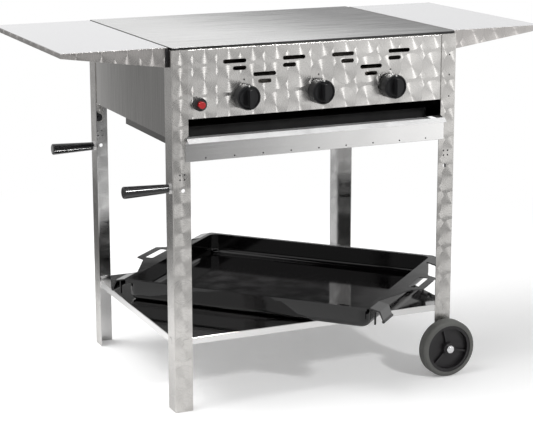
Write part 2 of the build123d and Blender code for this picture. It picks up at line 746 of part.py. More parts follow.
# Black bumpers at the body end of the left side shelf, which bear on the corner posts
bumper_top = TOP_Z - BUMPER_SHY - WING_EDGE
bumper_bottom = TOP_Z - WING_DEEP + BUMPER_SHY
with BuildPart() as shelf_bumpers:
    for end_name, end in ENDS:
        edge = end * WING_D / 2
        with BuildSketch(Plane.XY.offset(bumper_bottom)):
            Polygon(
                (-WING_X + WING_GAP - RUN, edge + end * BUMPER_T),
                (-WING_X - BUMPER_L, edge + end * BUMPER_T),
                (-WING_X - BUMPER_L, edge),
                (-WING_X, edge),
                (-WING_X, edge - end * BUMPER_FOOT),
                (-WING_X + WING_GAP - RUN, edge - end * BUMPER_FOOT),
                align=None,
            )
        extrude(amount=bumper_top - bumper_bottom)
save(shelf_bumpers, "shelf_bumpers")

# Knob bezels on the control panel
with BuildPart() as knob_bezels:
    with BuildSketch(front_plane(0)):
        with GridLocations(KNOB_PITCH, 1, len(KNOBS), 1):
            with Locations((0, KNOB_Z)):
                Circle(BEZEL_R)
                Circle(STEM_HOLE_R, mode=Mode.SUBTRACT)
    extrude(amount=BEZEL_T)
save(knob_bezels, "knob_bezels")


# Knob with a raised pointer bar, its stem, the sliding spring collar, and the valve
def make_control(name, x):
    back = -FACE_Y - KNOB_BACK
    front = back - KNOB_LEN
    with BuildPart() as knob:
        with BuildSketch(axial_plane(x, 0, KNOB_Z)) as knob_section:
            Polygon(
                (back, STEM_R),
                (back, KNOB_R),
                (front, KNOB_R - KNOB_TAPER),
                (front, KNOB_FACE_R),
                (front + KNOB_DISH, KNOB_FACE_R - KNOB_DISH),
                (front + KNOB_DISH, 0),
                (back - KNOB_BORE, 0),
                (back - KNOB_BORE, STEM_R),
                align=None,
            )
            fillet(knob_section.vertices().sort_by_distance((front, KNOB_R - KNOB_TAPER))[0], KNOB_EDGE)
        revolve(axis=y_axis(x, KNOB_Z))
        with BuildSketch(Plane.XZ.offset(-front - KNOB_DISH)):
            with Locations((x, KNOB_Z)):
                RectangleRounded(POINTER_W, POINTER_L, POINTER_W / 3)
        extrude(amount=KNOB_DISH + POINTER_PROUD)
    save(knob, f"knob_{name}")

    with BuildPart() as stem:
        with BuildSketch(front_plane(STEM_IN)):
            with Locations((x, KNOB_Z)):
                Circle(STEM_R)
        extrude(amount=STEM_IN + KNOB_BACK + KNOB_BORE)
    save(stem, f"valve_stem_{name}")

    with BuildPart() as collar:
        with BuildSketch(front_plane(COLLAR_IN)):
            with Locations((x, KNOB_Z)):
                Circle(COLLAR_R)
                Circle(STEM_R + FIT, mode=Mode.SUBTRACT)
        extrude(amount=-COLLAR_T)
    save(collar, f"valve_collar_{name}")

    with BuildPart() as valve:
        with BuildSketch(front_plane(VALVE_IN)):
            with Locations((x, KNOB_Z)):
                Circle(VALVE_R)
        extrude(amount=VALVE_IN + PIPE_R - PIPE_IN)
        with BuildSketch(front_plane(PIPE_IN - PIPE_R)):
            with Locations((x, KNOB_Z)):
                Rectangle(SADDLE_W, SADDLE_H)
        extrude(amount=-PIPE_R)
        with BuildSketch(front_plane(VALVE_IN)):
            with Locations((x, KNOB_Z)):
                Circle(STEM_R + FIT)
        extrude(amount=-VALVE_BORE, mode=Mode.SUBTRACT)
        with BuildSketch(Plane.YZ.offset(x - SADDLE_W)):
            with Locations((PIPE_Y, KNOB_Z)):
                Circle(PIPE_R)
        extrude(amount=2 * SADDLE_W, mode=Mode.SUBTRACT)
    save(valve, f"gas_valve_{name}")


for knob_name, knob_x in KNOBS:
    make_control(knob_name, knob_x)

# Gas pipe behind the valves, with a jet into each burner
pipe_x0 = -KNOB_PITCH - PIPE_LEFT
pipe_x1 = INNER_X - INLET_GAP
with BuildPart() as gas_pipe:
    with BuildSketch(Plane.YZ.offset(pipe_x0)):
        with Locations((PIPE_Y, KNOB_Z)):
            Circle(PIPE_R)
    extrude(amount=pipe_x1 - pipe_x0)
    with BuildSketch(front_plane(PIPE_IN)):
        with GridLocations(KNOB_PITCH, 1, len(KNOBS), 1):
            with Locations((0, KNOB_Z)):
                Circle(JET_R)
    extrude(amount=-PIPE_R - JET_LEN)
    with BuildSketch(Plane.YZ.offset(pipe_x0 + PIPE_WALL)):
        with Locations((PIPE_Y, KNOB_Z)):
            Circle(PIPE_R - PIPE_WALL)
    extrude(amount=pipe_x1 - pipe_x0 - PIPE_WALL, mode=Mode.SUBTRACT)
save(gas_pipe, "gas_pipe")

# Gas inlet through the right side panel
with BuildPart() as gas_inlet:
    with BuildSketch(Plane.YZ.offset(pipe_x1)):
        with Locations((PIPE_Y, KNOB_Z)):
            Circle(INLET_FLANGE_R)
    extrude(amount=INLET_GAP)
    with BuildSketch(Plane.YZ.offset(INNER_X)):
        with Locations((PIPE_Y, KNOB_Z)):
            Circle(PIPE_R)
    extrude(amount=SHEET)
    with BuildSketch(Plane.YZ.offset(SIDE_X)):
        with Locations((PIPE_Y, KNOB_Z)):
            RegularPolygon(INLET_HEX / 2, 6, major_radius=False)
    extrude(amount=INLET_HEX_T)
    with BuildSketch(Plane.YZ.offset(SIDE_X + INLET_HEX_T)):
        with Locations((PIPE_Y, KNOB_Z)):
            Circle(INLET_THREAD_R)
    extrude(amount=INLET_THREAD_L)
    with BuildSketch(Plane.YZ.offset(pipe_x1)):
        with Locations((PIPE_Y, KNOB_Z)):
            Circle(INLET_BORE)
    extrude(amount=INLET_GAP + SHEET + INLET_HEX_T + INLET_THREAD_L, mode=Mode.SUBTRACT)
save(gas_inlet, "gas_inlet")


# Tube burners with flame ports along the top, their mouths round the jets
def make_burner(name, x):
    with BuildPart() as burner:
        with BuildSketch(Plane.XZ.offset(-BURNER_Y)):
            with Locations((x, KNOB_Z)):
                Circle(BURNER_R)
        extrude(amount=-BURNER_LEN)
        with BuildSketch(Plane.XZ.offset(-BURNER_Y)):
            with Locations((x, KNOB_Z)):
                Circle(BURNER_R - BURNER_WALL)
        extrude(amount=BURNER_WALL - BURNER_LEN, mode=Mode.SUBTRACT)
        with BuildSketch(Plane.XY.offset(KNOB_Z)):
            with Locations((x, BURNER_Y + BURNER_LEN / 2)):
                with GridLocations(1, PORT_PITCH, 1, PORT_COUNT):
                    Rectangle(PORT_W, PORT_L)
        extrude(amount=BURNER_R, mode=Mode.SUBTRACT)
    save(burner, f"burner_{name}")


for knob_name, knob_x in KNOBS:
    make_burner(knob_name, knob_x)

# Burner rests: two cross plates between the side panels; stays from the front one carry the gas pipe
rest_front = BURNER_Y + REST_FRONT
rest_rear = BURNER_Y + BURNER_LEN - REST_REAR
with BuildPart() as burner_rests:
    for rest_y in (rest_front, rest_rear):
        with BuildSketch(Plane.XZ.offset(-rest_y)):
            with Locations((0, KNOB_Z + (REST_ABOVE - REST_BELOW) / 2)):
                Rectangle(2 * INNER_X, REST_ABOVE + REST_BELOW)
            with GridLocations(KNOB_PITCH, 1, len(KNOBS), 1):
                with Locations((0, KNOB_Z)):
                    Circle(BURNER_R, mode=Mode.SUBTRACT)
            with Locations((IGNITER_X, IGNITER_Z)):
                Circle(LEAD_R + LEAD_CLEAR, mode=Mode.SUBTRACT)
        extrude(amount=-REST_T)
        with BuildSketch(Plane.XY.offset(KNOB_Z - REST_BELOW)):
            for tab_side in (-1, 1):
                with Locations((tab_side * (INNER_X - REST_T / 2), rest_y + REST_TAB / 2)):
                    Rectangle(REST_T, REST_TAB)
        extrude(amount=REST_ABOVE + REST_BELOW)
    with BuildSketch(Plane.XZ.offset(-PIPE_Y)):
        with Locations((0, KNOB_Z)):
            with GridLocations(2 * STAY_X, 1, 2, 1):
                Rectangle(STAY_W, STAY_H)
    extrude(amount=PIPE_Y - rest_front)
    with BuildSketch(Plane.YZ.offset(-HALF_W)):
        with Locations((PIPE_Y, KNOB_Z)):
            Circle(PIPE_R)
    extrude(amount=BODY_W, mode=Mode.SUBTRACT)
save(burner_rests, "burner_rests")

# Igniter: barrel with a flange, back nut, push button, lead and electrode
igniter_front = -FACE_Y - IGNITER_FLANGE_T
button_bore = BUTTON_LEN - BUTTON_PROUD + BUTTON_TRAVEL + BUTTON_SPARE
with BuildPart() as igniter_body:
    with BuildSketch(axial_plane(IGNITER_X, 0, IGNITER_Z)) as igniter_section:
        Polygon(
            (igniter_front, BUTTON_R + FIT),
            (igniter_front, IGNITER_FLANGE_R),
            (-FACE_Y, IGNITER_FLANGE_R),
            (-FACE_Y, IGNITER_R),
            (IGNITER_LEN - FACE_Y, IGNITER_R),
            (IGNITER_LEN - FACE_Y, 0),
            (igniter_front + button_bore, 0),
            (igniter_front + button_bore, BUTTON_R + FIT),
            align=None,
        )
        fillet(igniter_section.vertices().sort_by_distance((igniter_front, IGNITER_FLANGE_R))[0], BUTTON_EDGE)
    revolve(axis=y_axis(IGNITER_X, IGNITER_Z))
save(igniter_body, "igniter_body")

with BuildPart() as igniter_nut:
    with BuildSketch(front_plane(SHEET)):
        with Locations((IGNITER_X, IGNITER_Z)):
            RegularPolygon(IGNITER_NUT_R, 6)
            Circle(IGNITER_R, mode=Mode.SUBTRACT)
    extrude(amount=-IGNITER_NUT_T)
save(igniter_nut, "igniter_nut")

with BuildPart() as igniter_button:
    with BuildSketch(axial_plane(IGNITER_X, 0, IGNITER_Z)) as button_section:
        Polygon(
            (igniter_front - BUTTON_PROUD, 0),
            (igniter_front - BUTTON_PROUD, BUTTON_R),
            (igniter_front - BUTTON_PROUD + BUTTON_LEN, BUTTON_R),
            (igniter_front - BUTTON_PROUD + BUTTON_LEN, 0),
            align=None,
        )
        fillet(
            button_section.vertices().sort_by_distance((igniter_front - BUTTON_PROUD, BUTTON_R))[0],
            BUTTON_EDGE,
        )
    revolve(axis=y_axis(IGNITER_X, IGNITER_Z))
save(igniter_button, "igniter_button")

electrode_x1 = -KNOB_PITCH - BURNER_R
electrode_x0 = electrode_x1 - ELECTRODE_LEN
with BuildPart() as ignition_electrode:
    with BuildSketch(Plane.YZ.offset(electrode_x0)):
        with Locations((ELECTRODE_Y, IGNITER_Z)):
            Circle(ELECTRODE_R)
    extrude(amount=ELECTRODE_LEN + BURNER_R / 2)
    with BuildSketch(Plane.YZ.offset(electrode_x1 - CLIP_L)):
        with Locations((ELECTRODE_Y, IGNITER_Z)):
            Rectangle(CLIP_W, CLIP_H)
    extrude(amount=CLIP_L + BURNER_R / 2)
    with BuildSketch(Plane.XZ.offset(-BURNER_Y)):
        with Locations((-KNOB_PITCH, KNOB_Z)):
            Circle(BURNER_R)
    extrude(amount=-BURNER_LEN, mode=Mode.SUBTRACT)
save(ignition_electrode, "ignition_electrode")

with BuildPart() as ignition_lead:
    with BuildLine() as lead_path:
        FilletPolyline(
            (IGNITER_X, IGNITER_LEN - FACE_Y, IGNITER_Z),
            (IGNITER_X, ELECTRODE_Y, IGNITER_Z),
            (electrode_x0, ELECTRODE_Y, IGNITER_Z),
            radius=LEAD_TURN * (electrode_x0 - IGNITER_X),
        )
    with BuildSketch(front_plane(IGNITER_LEN)):
        with Locations((IGNITER_X, IGNITER_Z)):
            Circle(LEAD_R)
    sweep(path=lead_path.line)
save(ignition_lead, "ignition_lead")


# Lifting handles: tapered grips on studs through the left legs
def make_grip(name, sy):
    root = -HALF_W - COLLAR_RING_T
    with BuildPart() as grip:
        with BuildSketch(Plane.XZ.offset(-sy * GRIP_Y)) as grip_section:
            Polygon(
                (root, GRIP_Z + GRIP_STUD_R),
                (root, GRIP_Z + GRIP_R_IN),
                (root - GRIP_LEN, GRIP_Z + GRIP_R_OUT),
                (root - GRIP_LEN, GRIP_Z),
                (root - GRIP_BORE, GRIP_Z),
                (root - GRIP_BORE, GRIP_Z + GRIP_STUD_R),
                align=None,
            )
            fillet(
                grip_section.vertices().sort_by_distance((root - GRIP_LEN, GRIP_Z + GRIP_R_OUT))[0],
                GRIP_ROUND,
            )
        revolve(axis=Axis((0, sy * GRIP_Y, GRIP_Z), (1, 0, 0)))
    save(grip, f"handle_grip_{name}")


for end_name, end in ENDS:
    make_grip(end_name, end)

with BuildPart() as handle_collars:
    with BuildSketch(Plane.YZ.offset(-HALF_W)):
        with GridLocations(2 * GRIP_Y, 1, 2, 1):
            with Locations((0, GRIP_Z)):
                Circle(COLLAR_RING_R)
                Circle(GRIP_STUD_R, mode=Mode.SUBTRACT)
    extrude(amount=-COLLAR_RING_T)
save(handle_collars, "handle_collars")

with BuildPart() as handle_studs:
    with BuildSketch(Plane.YZ.offset(-SIDE_X)):
        with GridLocations(2 * GRIP_Y, 1, 2, 1):
            with Locations((0, GRIP_Z)):
                RegularPolygon(GRIP_NUT_R, 6)
    extrude(amount=GRIP_NUT_T)
    with BuildSketch(Plane.YZ.offset(-SIDE_X)):
        with GridLocations(2 * GRIP_Y, 1, 2, 1):
            with Locations((0, GRIP_Z)):
                Circle(GRIP_STUD_R)
    extrude(amount=-ANGLE_T - COLLAR_RING_T - GRIP_BORE)
save(handle_studs, "handle_studs")


# Wheels: solid tyre on a spoked disc, outside the right legs
def make_wheel(name, sy):
    inner = HALF_D + WHEEL_GAP
    outer = inner + WHEEL_W
    with BuildPart() as tyre:
        with BuildSketch(axial_plane(WHEEL_X, 0, WHEEL_R)) as tyre_section:
            Polygon(
                (sy * inner, DISC_R),
                (sy * inner, WHEEL_R),
                (sy * outer, WHEEL_R),
                (sy * outer, DISC_R),
                align=None,
            )
            fillet(tyre_section.vertices().sort_by(Axis.Y)[-2:], TYRE_ROUND)
        revolve(axis=y_axis(WHEEL_X, WHEEL_R))
    save(tyre, f"tyre_{name}")

    web = inner + WEB_IN
    bore = AXLE_R + FIT
    with BuildPart() as disc:
        with BuildSketch(axial_plane(WHEEL_X, 0, WHEEL_R)):
            Polygon(
                (sy * inner, bore),
                (sy * outer, bore),
                (sy * outer, HUB_R),
                (sy * (web + WEB_T), HUB_R),
                (sy * (web + WEB_T), DISC_RIM_R),
                (sy * (outer - DISC_RIM_SET), DISC_RIM_R),
                (sy * (outer - DISC_RIM_SET), DISC_R),
                (sy * (inner + DISC_RIM_SET), DISC_R),
                (sy * (inner + DISC_RIM_SET), DISC_RIM_R),
                (sy * web, DISC_RIM_R),
                (sy * web, HUB_R),
                (sy * inner, HUB_R),
                align=None,
            )
        revolve(axis=y_axis(WHEEL_X, WHEEL_R))
        with BuildSketch(Plane.XZ.offset(-sy * (web + WEB_T))):
            with Locations((WHEEL_X, WHEEL_R)):
                with PolarLocations((HUB_R + DISC_RIM_R) / 2, SPOKE_COUNT, SPOKE_START):
                    Rectangle(DISC_RIM_R - HUB_R + WEB_T / 2, SPOKE_T)
        extrude(amount=-sy * SPOKE_H)
    save(disc, f"wheel_disc_{name}")


for end_name, end in ENDS:
    make_wheel(end_name, end)

# Stub axles through the right legs, with spacers, back nuts and domed caps
with BuildPart() as wheel_axles:
    for end_name, end in ENDS:
        cap = HALF_D + WHEEL_GAP + WHEEL_W + RUN
        with BuildSketch(axial_plane(WHEEL_X, 0, WHEEL_R)) as axle_section:
            Polygon(
                (end * (FACE_Y - AXLE_NUT_T), 0),
                (end * (FACE_Y - AXLE_NUT_T), AXLE_NUT_R),
                (end * FACE_Y, AXLE_NUT_R),
                (end * FACE_Y, AXLE_R),
                (end * HALF_D, AXLE_R),
                (end * HALF_D, SPACER_R),
                (end * (HALF_D + WHEEL_GAP - RUN), SPACER_R),
                (end * (HALF_D + WHEEL_GAP - RUN), AXLE_R),
                (end * cap, AXLE_R),
                (end * cap, CAP_R),
                (end * (cap + CAP_T), CAP_R),
                (end * (cap + CAP_T), 0),
                align=None,
            )
            fillet(axle_section.vertices().sort_by_distance((end * (cap + CAP_T), CAP_R))[0], CAP_ROUND)
        revolve(axis=y_axis(WHEEL_X, WHEEL_R))
save(wheel_axles, "wheel_axles")

# Pan: enamelled basin under a flat rim, with a bent-down flap and a prong at each corner
pan_plane = Plane(origin=(PAN_X, PAN_Y, 0)).rotated((0, 0, PAN_TURN))
pan_end = PAN_L / 2
pan_under = PAN_RIM_Z - PAN_RIM_T
with BuildPart() as pan_basin:
    with BuildSketch(pan_plane.offset(PAN_Z)):
        RectangleRounded(BASIN_L, BASIN_W, PAN_CORNER)
    extrude(amount=PAN_H - PAN_RIM_T)
    fillet(pan_basin.faces().sort_by(Axis.Z)[0].edges(), PAN_FOOT_R)
    offset(amount=-PAN_WALL, openings=pan_basin.faces().sort_by(Axis.Z)[-1])
save(pan_basin, "pan_basin")

flap_low = PAN_RIM_Z - FLAP_DROP
prong_top = PAN_RIM_Z - FLAP_SAG * PRONG_OUT / FLAP_FLAT - FLAP_T / 2
prong_foot = PAN_RIM_Z - PRONG_DROP
with BuildPart() as pan_rim:
    with BuildSketch(pan_plane.offset(pan_under)):
        RectangleRounded(PAN_L, PAN_W, PAN_RIM_CORNER)
        RectangleRounded(
            BASIN_L - 2 * PAN_WALL,
            BASIN_W - 2 * PAN_WALL,
            PAN_CORNER - PAN_WALL,
            mode=Mode.SUBTRACT,
        )
    extrude(amount=PAN_RIM_T)
    with BuildSketch(pan_plane.offset(PAN_RIM_Z - PAN_RIM_DOWN)):
        with GridLocations(1, PAN_W - PAN_RIM_T, 1, 2):
            Rectangle(PAN_L - 2 * PAN_RIM_CORNER, PAN_RIM_T)
    extrude(amount=PAN_RIM_DOWN)
    for rim_end in (-1, 1):
        for rim_side in (-1, 1):
            flap_origin = pan_plane.from_local_coords((0, rim_side * (PAN_W / 2 - FLAP_SIDE), 0))
            flap_plane = Plane(origin=flap_origin, x_dir=pan_plane.x_dir, z_dir=-pan_plane.y_dir)
            with BuildSketch(flap_plane):
                Polygon(
                    (rim_end * (pan_end - FLAP_IN), PAN_RIM_Z),
                    (rim_end * pan_end, PAN_RIM_Z),
                    (rim_end * (pan_end + FLAP_FLAT), PAN_RIM_Z - FLAP_SAG),
                    (rim_end * (pan_end + FLAP_OUT), flap_low),
                    (rim_end * (pan_end + FLAP_OUT - FLAP_T), flap_low),
                    (rim_end * (pan_end + FLAP_FLAT - FLAP_T), PAN_RIM_Z - FLAP_SAG - FLAP_T),
                    (rim_end * pan_end, PAN_RIM_Z - FLAP_T),
                    (rim_end * (pan_end - FLAP_IN), pan_under),
                    align=None,
                )
                with Locations((rim_end * (pan_end + FLAP_OUT - FLAP_T / 2), flap_low)):
                    Circle(FLAP_BEAD_R)
            extrude(amount=rim_side * FLAP_W)
            with BuildSketch(flap_plane):
                with Locations((rim_end * (pan_end + PRONG_OUT), (prong_top + prong_foot) / 2)):
                    Rectangle(PRONG_T, prong_top - prong_foot)
            extrude(amount=rim_side * PRONG_W)
save(pan_rim, "pan_rim")

# Looped handles, welded edge to edge to the short ends of the rim
with BuildPart() as pan_handles:
    with BuildSketch(pan_plane.offset(pan_under)):
        for ear_end in (-1, 1):
            with BuildSketch(mode=Mode.PRIVATE) as ear:
                Polygon(
                    (ear_end * pan_end, -EAR_BASE / 2),
                    (ear_end * (pan_end + EAR_NECK), -EAR_SHOULDER / 2),
                    (ear_end * (pan_end + EAR_OUT), -EAR_TIP / 2),
                    (ear_end * (pan_end + EAR_OUT), EAR_TIP / 2),
                    (ear_end * (pan_end + EAR_NECK), EAR_SHOULDER / 2),
                    (ear_end * pan_end, EAR_BASE / 2),
                    align=None,
                )
                tips = ear.vertices().sort_by(lambda v: abs(v.X))[-2:]
                fillet(tips, EAR_ROUND)
                with Locations((ear_end * (pan_end + EAR_SLOT_OUT), 0)):
                    RectangleRounded(EAR_SLOT_W, EAR_SLOT_L, EAR_SLOT_ROUND, mode=Mode.SUBTRACT)
            add(ear.sketch)
    extrude(amount=PAN_RIM_T)
save(pan_handles, "pan_handles")
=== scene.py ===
"""Finishes, small fittings and studio for a gas grill with a griddle plate.

Laid out as a Blender add-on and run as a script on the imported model.
"""

import math

import bmesh
import bpy
from bpy.props import FloatProperty, FloatVectorProperty, PointerProperty
from mathutils import Matrix, Vector


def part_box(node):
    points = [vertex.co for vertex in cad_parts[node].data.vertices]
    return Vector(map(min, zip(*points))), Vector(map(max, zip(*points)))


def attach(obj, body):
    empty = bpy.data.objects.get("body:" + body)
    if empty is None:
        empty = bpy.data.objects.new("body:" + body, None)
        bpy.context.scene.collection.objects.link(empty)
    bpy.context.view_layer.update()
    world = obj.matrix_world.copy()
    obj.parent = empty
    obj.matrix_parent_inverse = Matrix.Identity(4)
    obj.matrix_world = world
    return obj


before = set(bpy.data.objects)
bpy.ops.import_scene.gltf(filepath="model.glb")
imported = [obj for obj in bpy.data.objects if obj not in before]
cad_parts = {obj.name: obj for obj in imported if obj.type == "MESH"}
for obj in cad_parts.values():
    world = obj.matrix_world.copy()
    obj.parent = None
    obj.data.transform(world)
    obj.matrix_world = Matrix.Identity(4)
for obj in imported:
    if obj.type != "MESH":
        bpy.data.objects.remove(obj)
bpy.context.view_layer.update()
CORNERS = ("front_left", "front_right", "rear_left", "rear_right")
KNOBS = ("left", "middle", "right")

bl_info = {
    "name": "Gas grill finishes",
    "version": (1, 0, 0),
    "blender": (4, 5, 0),
    "location": "View3D > Sidebar > Grill",
    "description": "Finishes, small fittings and studio for a gas grill with a griddle plate",
    "category": "Object",
}


# Values a user would change


def colour(label, note, value):
    """A colour property, in linear light."""
    return FloatVectorProperty(
        name=label, description=note, subtype="COLOR", size=3, min=0, max=1, default=value
    )


def length(label, note, value):
    """A length property, in metres."""
    return FloatProperty(
        name=label, description=note, unit="LENGTH", subtype="DISTANCE", precision=4, default=value
    )


class GrillSizes(bpy.types.PropertyGroup):
    """Sizes of the finishes and the small fittings."""

    disc_column: length("Disc column", "Distance between turned discs side by side", 0.062)
    disc_row: length("Disc row", "Height between a row of turned discs and the next", 0.0365)
    disc_radius: length("Disc radius", "Radius of one turned disc", 0.033)
    disc_x: length("Disc start X", "A disc's middle along the panel", -0.021)
    disc_z: length("Disc start Z", "A disc's middle above the floor", 0.8545)
    dot_radius: length("Knob dot", "Radius of the white dot on a knob", 0.0022)
    dot_edge: length("Knob dot, from edge", "Middle of the white dot, from the knob's edge", 0.003)
    knob_length: length("Knob length", "From a knob's back to the rim of its face", 0.024)
    # The dark pieces in the small holes are painted shade: the holes are open, and the dark stands
    # for the shade inside them.
    plug_radius: length("Plug", "Radius of the dark plug in a small hole", 0.0021)
    plug_recess: length("Plug recess", "Depth of a plug behind the sheet's face", 0.0006)
    leg_hole_in: length("Leg holes, in", "Middle of a leg's four holes, from its side face", 0.025)
    leg_hole_down: length("Leg holes, down", "Middle of a leg's four holes, below its top", 0.090)
    leg_hole_pitch: length("Leg holes", "Distance between a leg's small holes", 0.012)
    beam_hole_pitch: length("Beam holes", "Distance between the holes of the front beam", 0.075)
    beam_hole_up: length("Beam holes, height", "Height above the beam's lower edge", 0.007)
    thread_pitch: length("Thread pitch", "Distance between thread turns at the gas inlet", 0.0018)
    thread_depth: length("Thread depth", "Height of the thread at the gas inlet", 0.0006)
    thread_length: length("Thread length", "Threaded length of the gas inlet", 0.0165)
    thread_radius: length("Thread radius", "Radius of the gas inlet's nipple", 0.009)


class GrillColours(bpy.types.PropertyGroup):
    """Colours of the finishes."""

    flange: colour("Shelf flanges", "Flanges of the side shelves, turned", (0.52, 0.50, 0.485))
    turned: colour("Turned steel", "Control panel", (0.70, 0.685, 0.665))
    post: colour("Post steel", "Corner posts and legs, turned", (0.62, 0.605, 0.585))
    brushed: colour("Brushed steel", "Side and rear panels", (0.50, 0.49, 0.475))
    plate: colour("Griddle plate", "Brushed plate on top", (0.84, 0.84, 0.835))
    shelf: colour("Side shelves", "Smooth tops of the side shelves", (0.69, 0.69, 0.705))
    polished: colour("Polished steel", "Lower shelf and inner leg faces", (0.72, 0.715, 0.71))
    # The lip's colour is partly painted highlight: steel drawn near white to stand in for the
    # overhead light it mirrors.
    lip: colour("Pull lip", "Bright folded edge of the drip tray", (0.88, 0.88, 0.88))
    fixing: colour("Fixings", "Blackened nuts on the leg studs", (0.05, 0.05, 0.052))
    rail: colour("Tray rails", "Dull steel of the tray rails", (0.16, 0.155, 0.15))
    heated: colour("Heated steel", "Burners and pieces near the flames", (0.40, 0.37, 0.34))
    enamel: colour("Enamel", "Pan and drip tray", (0.0020, 0.0018, 0.0020))
    gloss: colour("Gloss black", "Knobs and grips", (0.012, 0.012, 0.013))
    matt: colour("Matt black", "Wheel discs and bumpers", (0.010, 0.0088, 0.0100))
    red: colour("Red button", "Igniter push button", (0.50, 0.012, 0.016))
    white: colour("White mark", "Dot on a knob", (0.80, 0.80, 0.78))
    brass: colour("Brass", "Gas valves and inlet", (0.70, 0.50, 0.22))
    rubber: colour("Tyre rubber", "Tyres", (0.095, 0.096, 0.090))
    chrome: colour("Chrome", "Axle caps and nuts", (0.78, 0.78, 0.79))
    floor: colour("Floor", "Studio floor", (0.90, 0.90, 0.90))


class GrillStudio(bpy.types.PropertyGroup):
    """Camera and lamps."""

    eye: FloatVectorProperty(
        name="Eye", description="Camera position", unit="LENGTH", size=3,
        default=(-1.7249, -3.8633, 1.4208),
    )
    yaw: FloatProperty(
        name="Yaw", description="Turn to the right", unit="ROTATION", default=math.radians(24.028)
    )
    pitch: FloatProperty(
        name="Pitch", description="Tilt down", unit="ROTATION", default=math.radians(12.416)
    )
    roll: FloatProperty(
        name="Roll", description="Lean of the frame", unit="ROTATION", default=math.radians(-0.10)
    )
    focal: FloatProperty(
        name="Focal length", description="In widths of the picture", default=1635.1 / 533
    )
    rise: FloatProperty(
        name="Shift", description="Vertical shift, in widths of the picture", default=-0.06
    )
    overhead: FloatProperty(
        name="Overhead", description="Power of the overhead lamp", unit="POWER", default=128
    )
    key: FloatProperty(
        name="Key", description="Power of the front lamp", unit="POWER", default=105
    )
    around: FloatProperty(
        name="Surroundings", description="Strength of the light from all round", default=0.42
    )


# Studio

SENSOR = 36.0  # width of the camera's sensor, mm
FLOOR_HALF = 2.4
FLOOR_BACK = 0.1  # shift of the floor's middle to the rear
FLOOR_DROP = 0.0005  # gap under the feet
FLOOR_GLOW = 0.18
OVERHEAD_AT, OVERHEAD_TO, OVERHEAD_SIZE = (-1.6, 0.4, 3.0), (-0.4, 0.0, 0.2), 3.0
FRONT_AT, FRONT_TO, FRONT_SIZE = (1.52, -4.4, 3.4), (0.0, -0.3, 0.8), 0.5

# Surroundings as metal mirrors them. Directions have length 1, and a bearing is x over the
# size of y. Each row is a pair of limits, then the tones at them where they are its own.
BEHIND = (-0.10, 0.60)
FRONT_RISE = (0.30, 0.66, 0.08, 1.55)  # front room, brighter to the right
FRONT_FALL = (0.70, 1.0, 1.0, 0.85)
FRONT_LEFT = (-0.1, 0.2, 0.42, 0.0)
FRONT_TOP = (0.10, 0.20)
BACKDROP_TOP = (0.235, 0.270)
GAP_RIGHT = (0.49, 0.62)  # dark gap between backdrop and ceiling, lighter to the right
GAP_TONES = (0.05, 0.6)
LEFT_WALL = (-0.33, -0.28, 0.28, 0.75)
LEFT_TOP = (-0.05, 0.10)
LEFT_END = (-0.10, 0.15)
CEILING = (0.325, 0.36)
OVERHEAD = (0.40, 0.85)
OVERHEAD_TONE = (-0.75, -0.1, 0.5, 0.95)  # brighter to the rear
FRONT_TONE = 0.7
BACKDROP_TONE = 1.0
BRIGHT_TONE = 0.8


# Node helpers


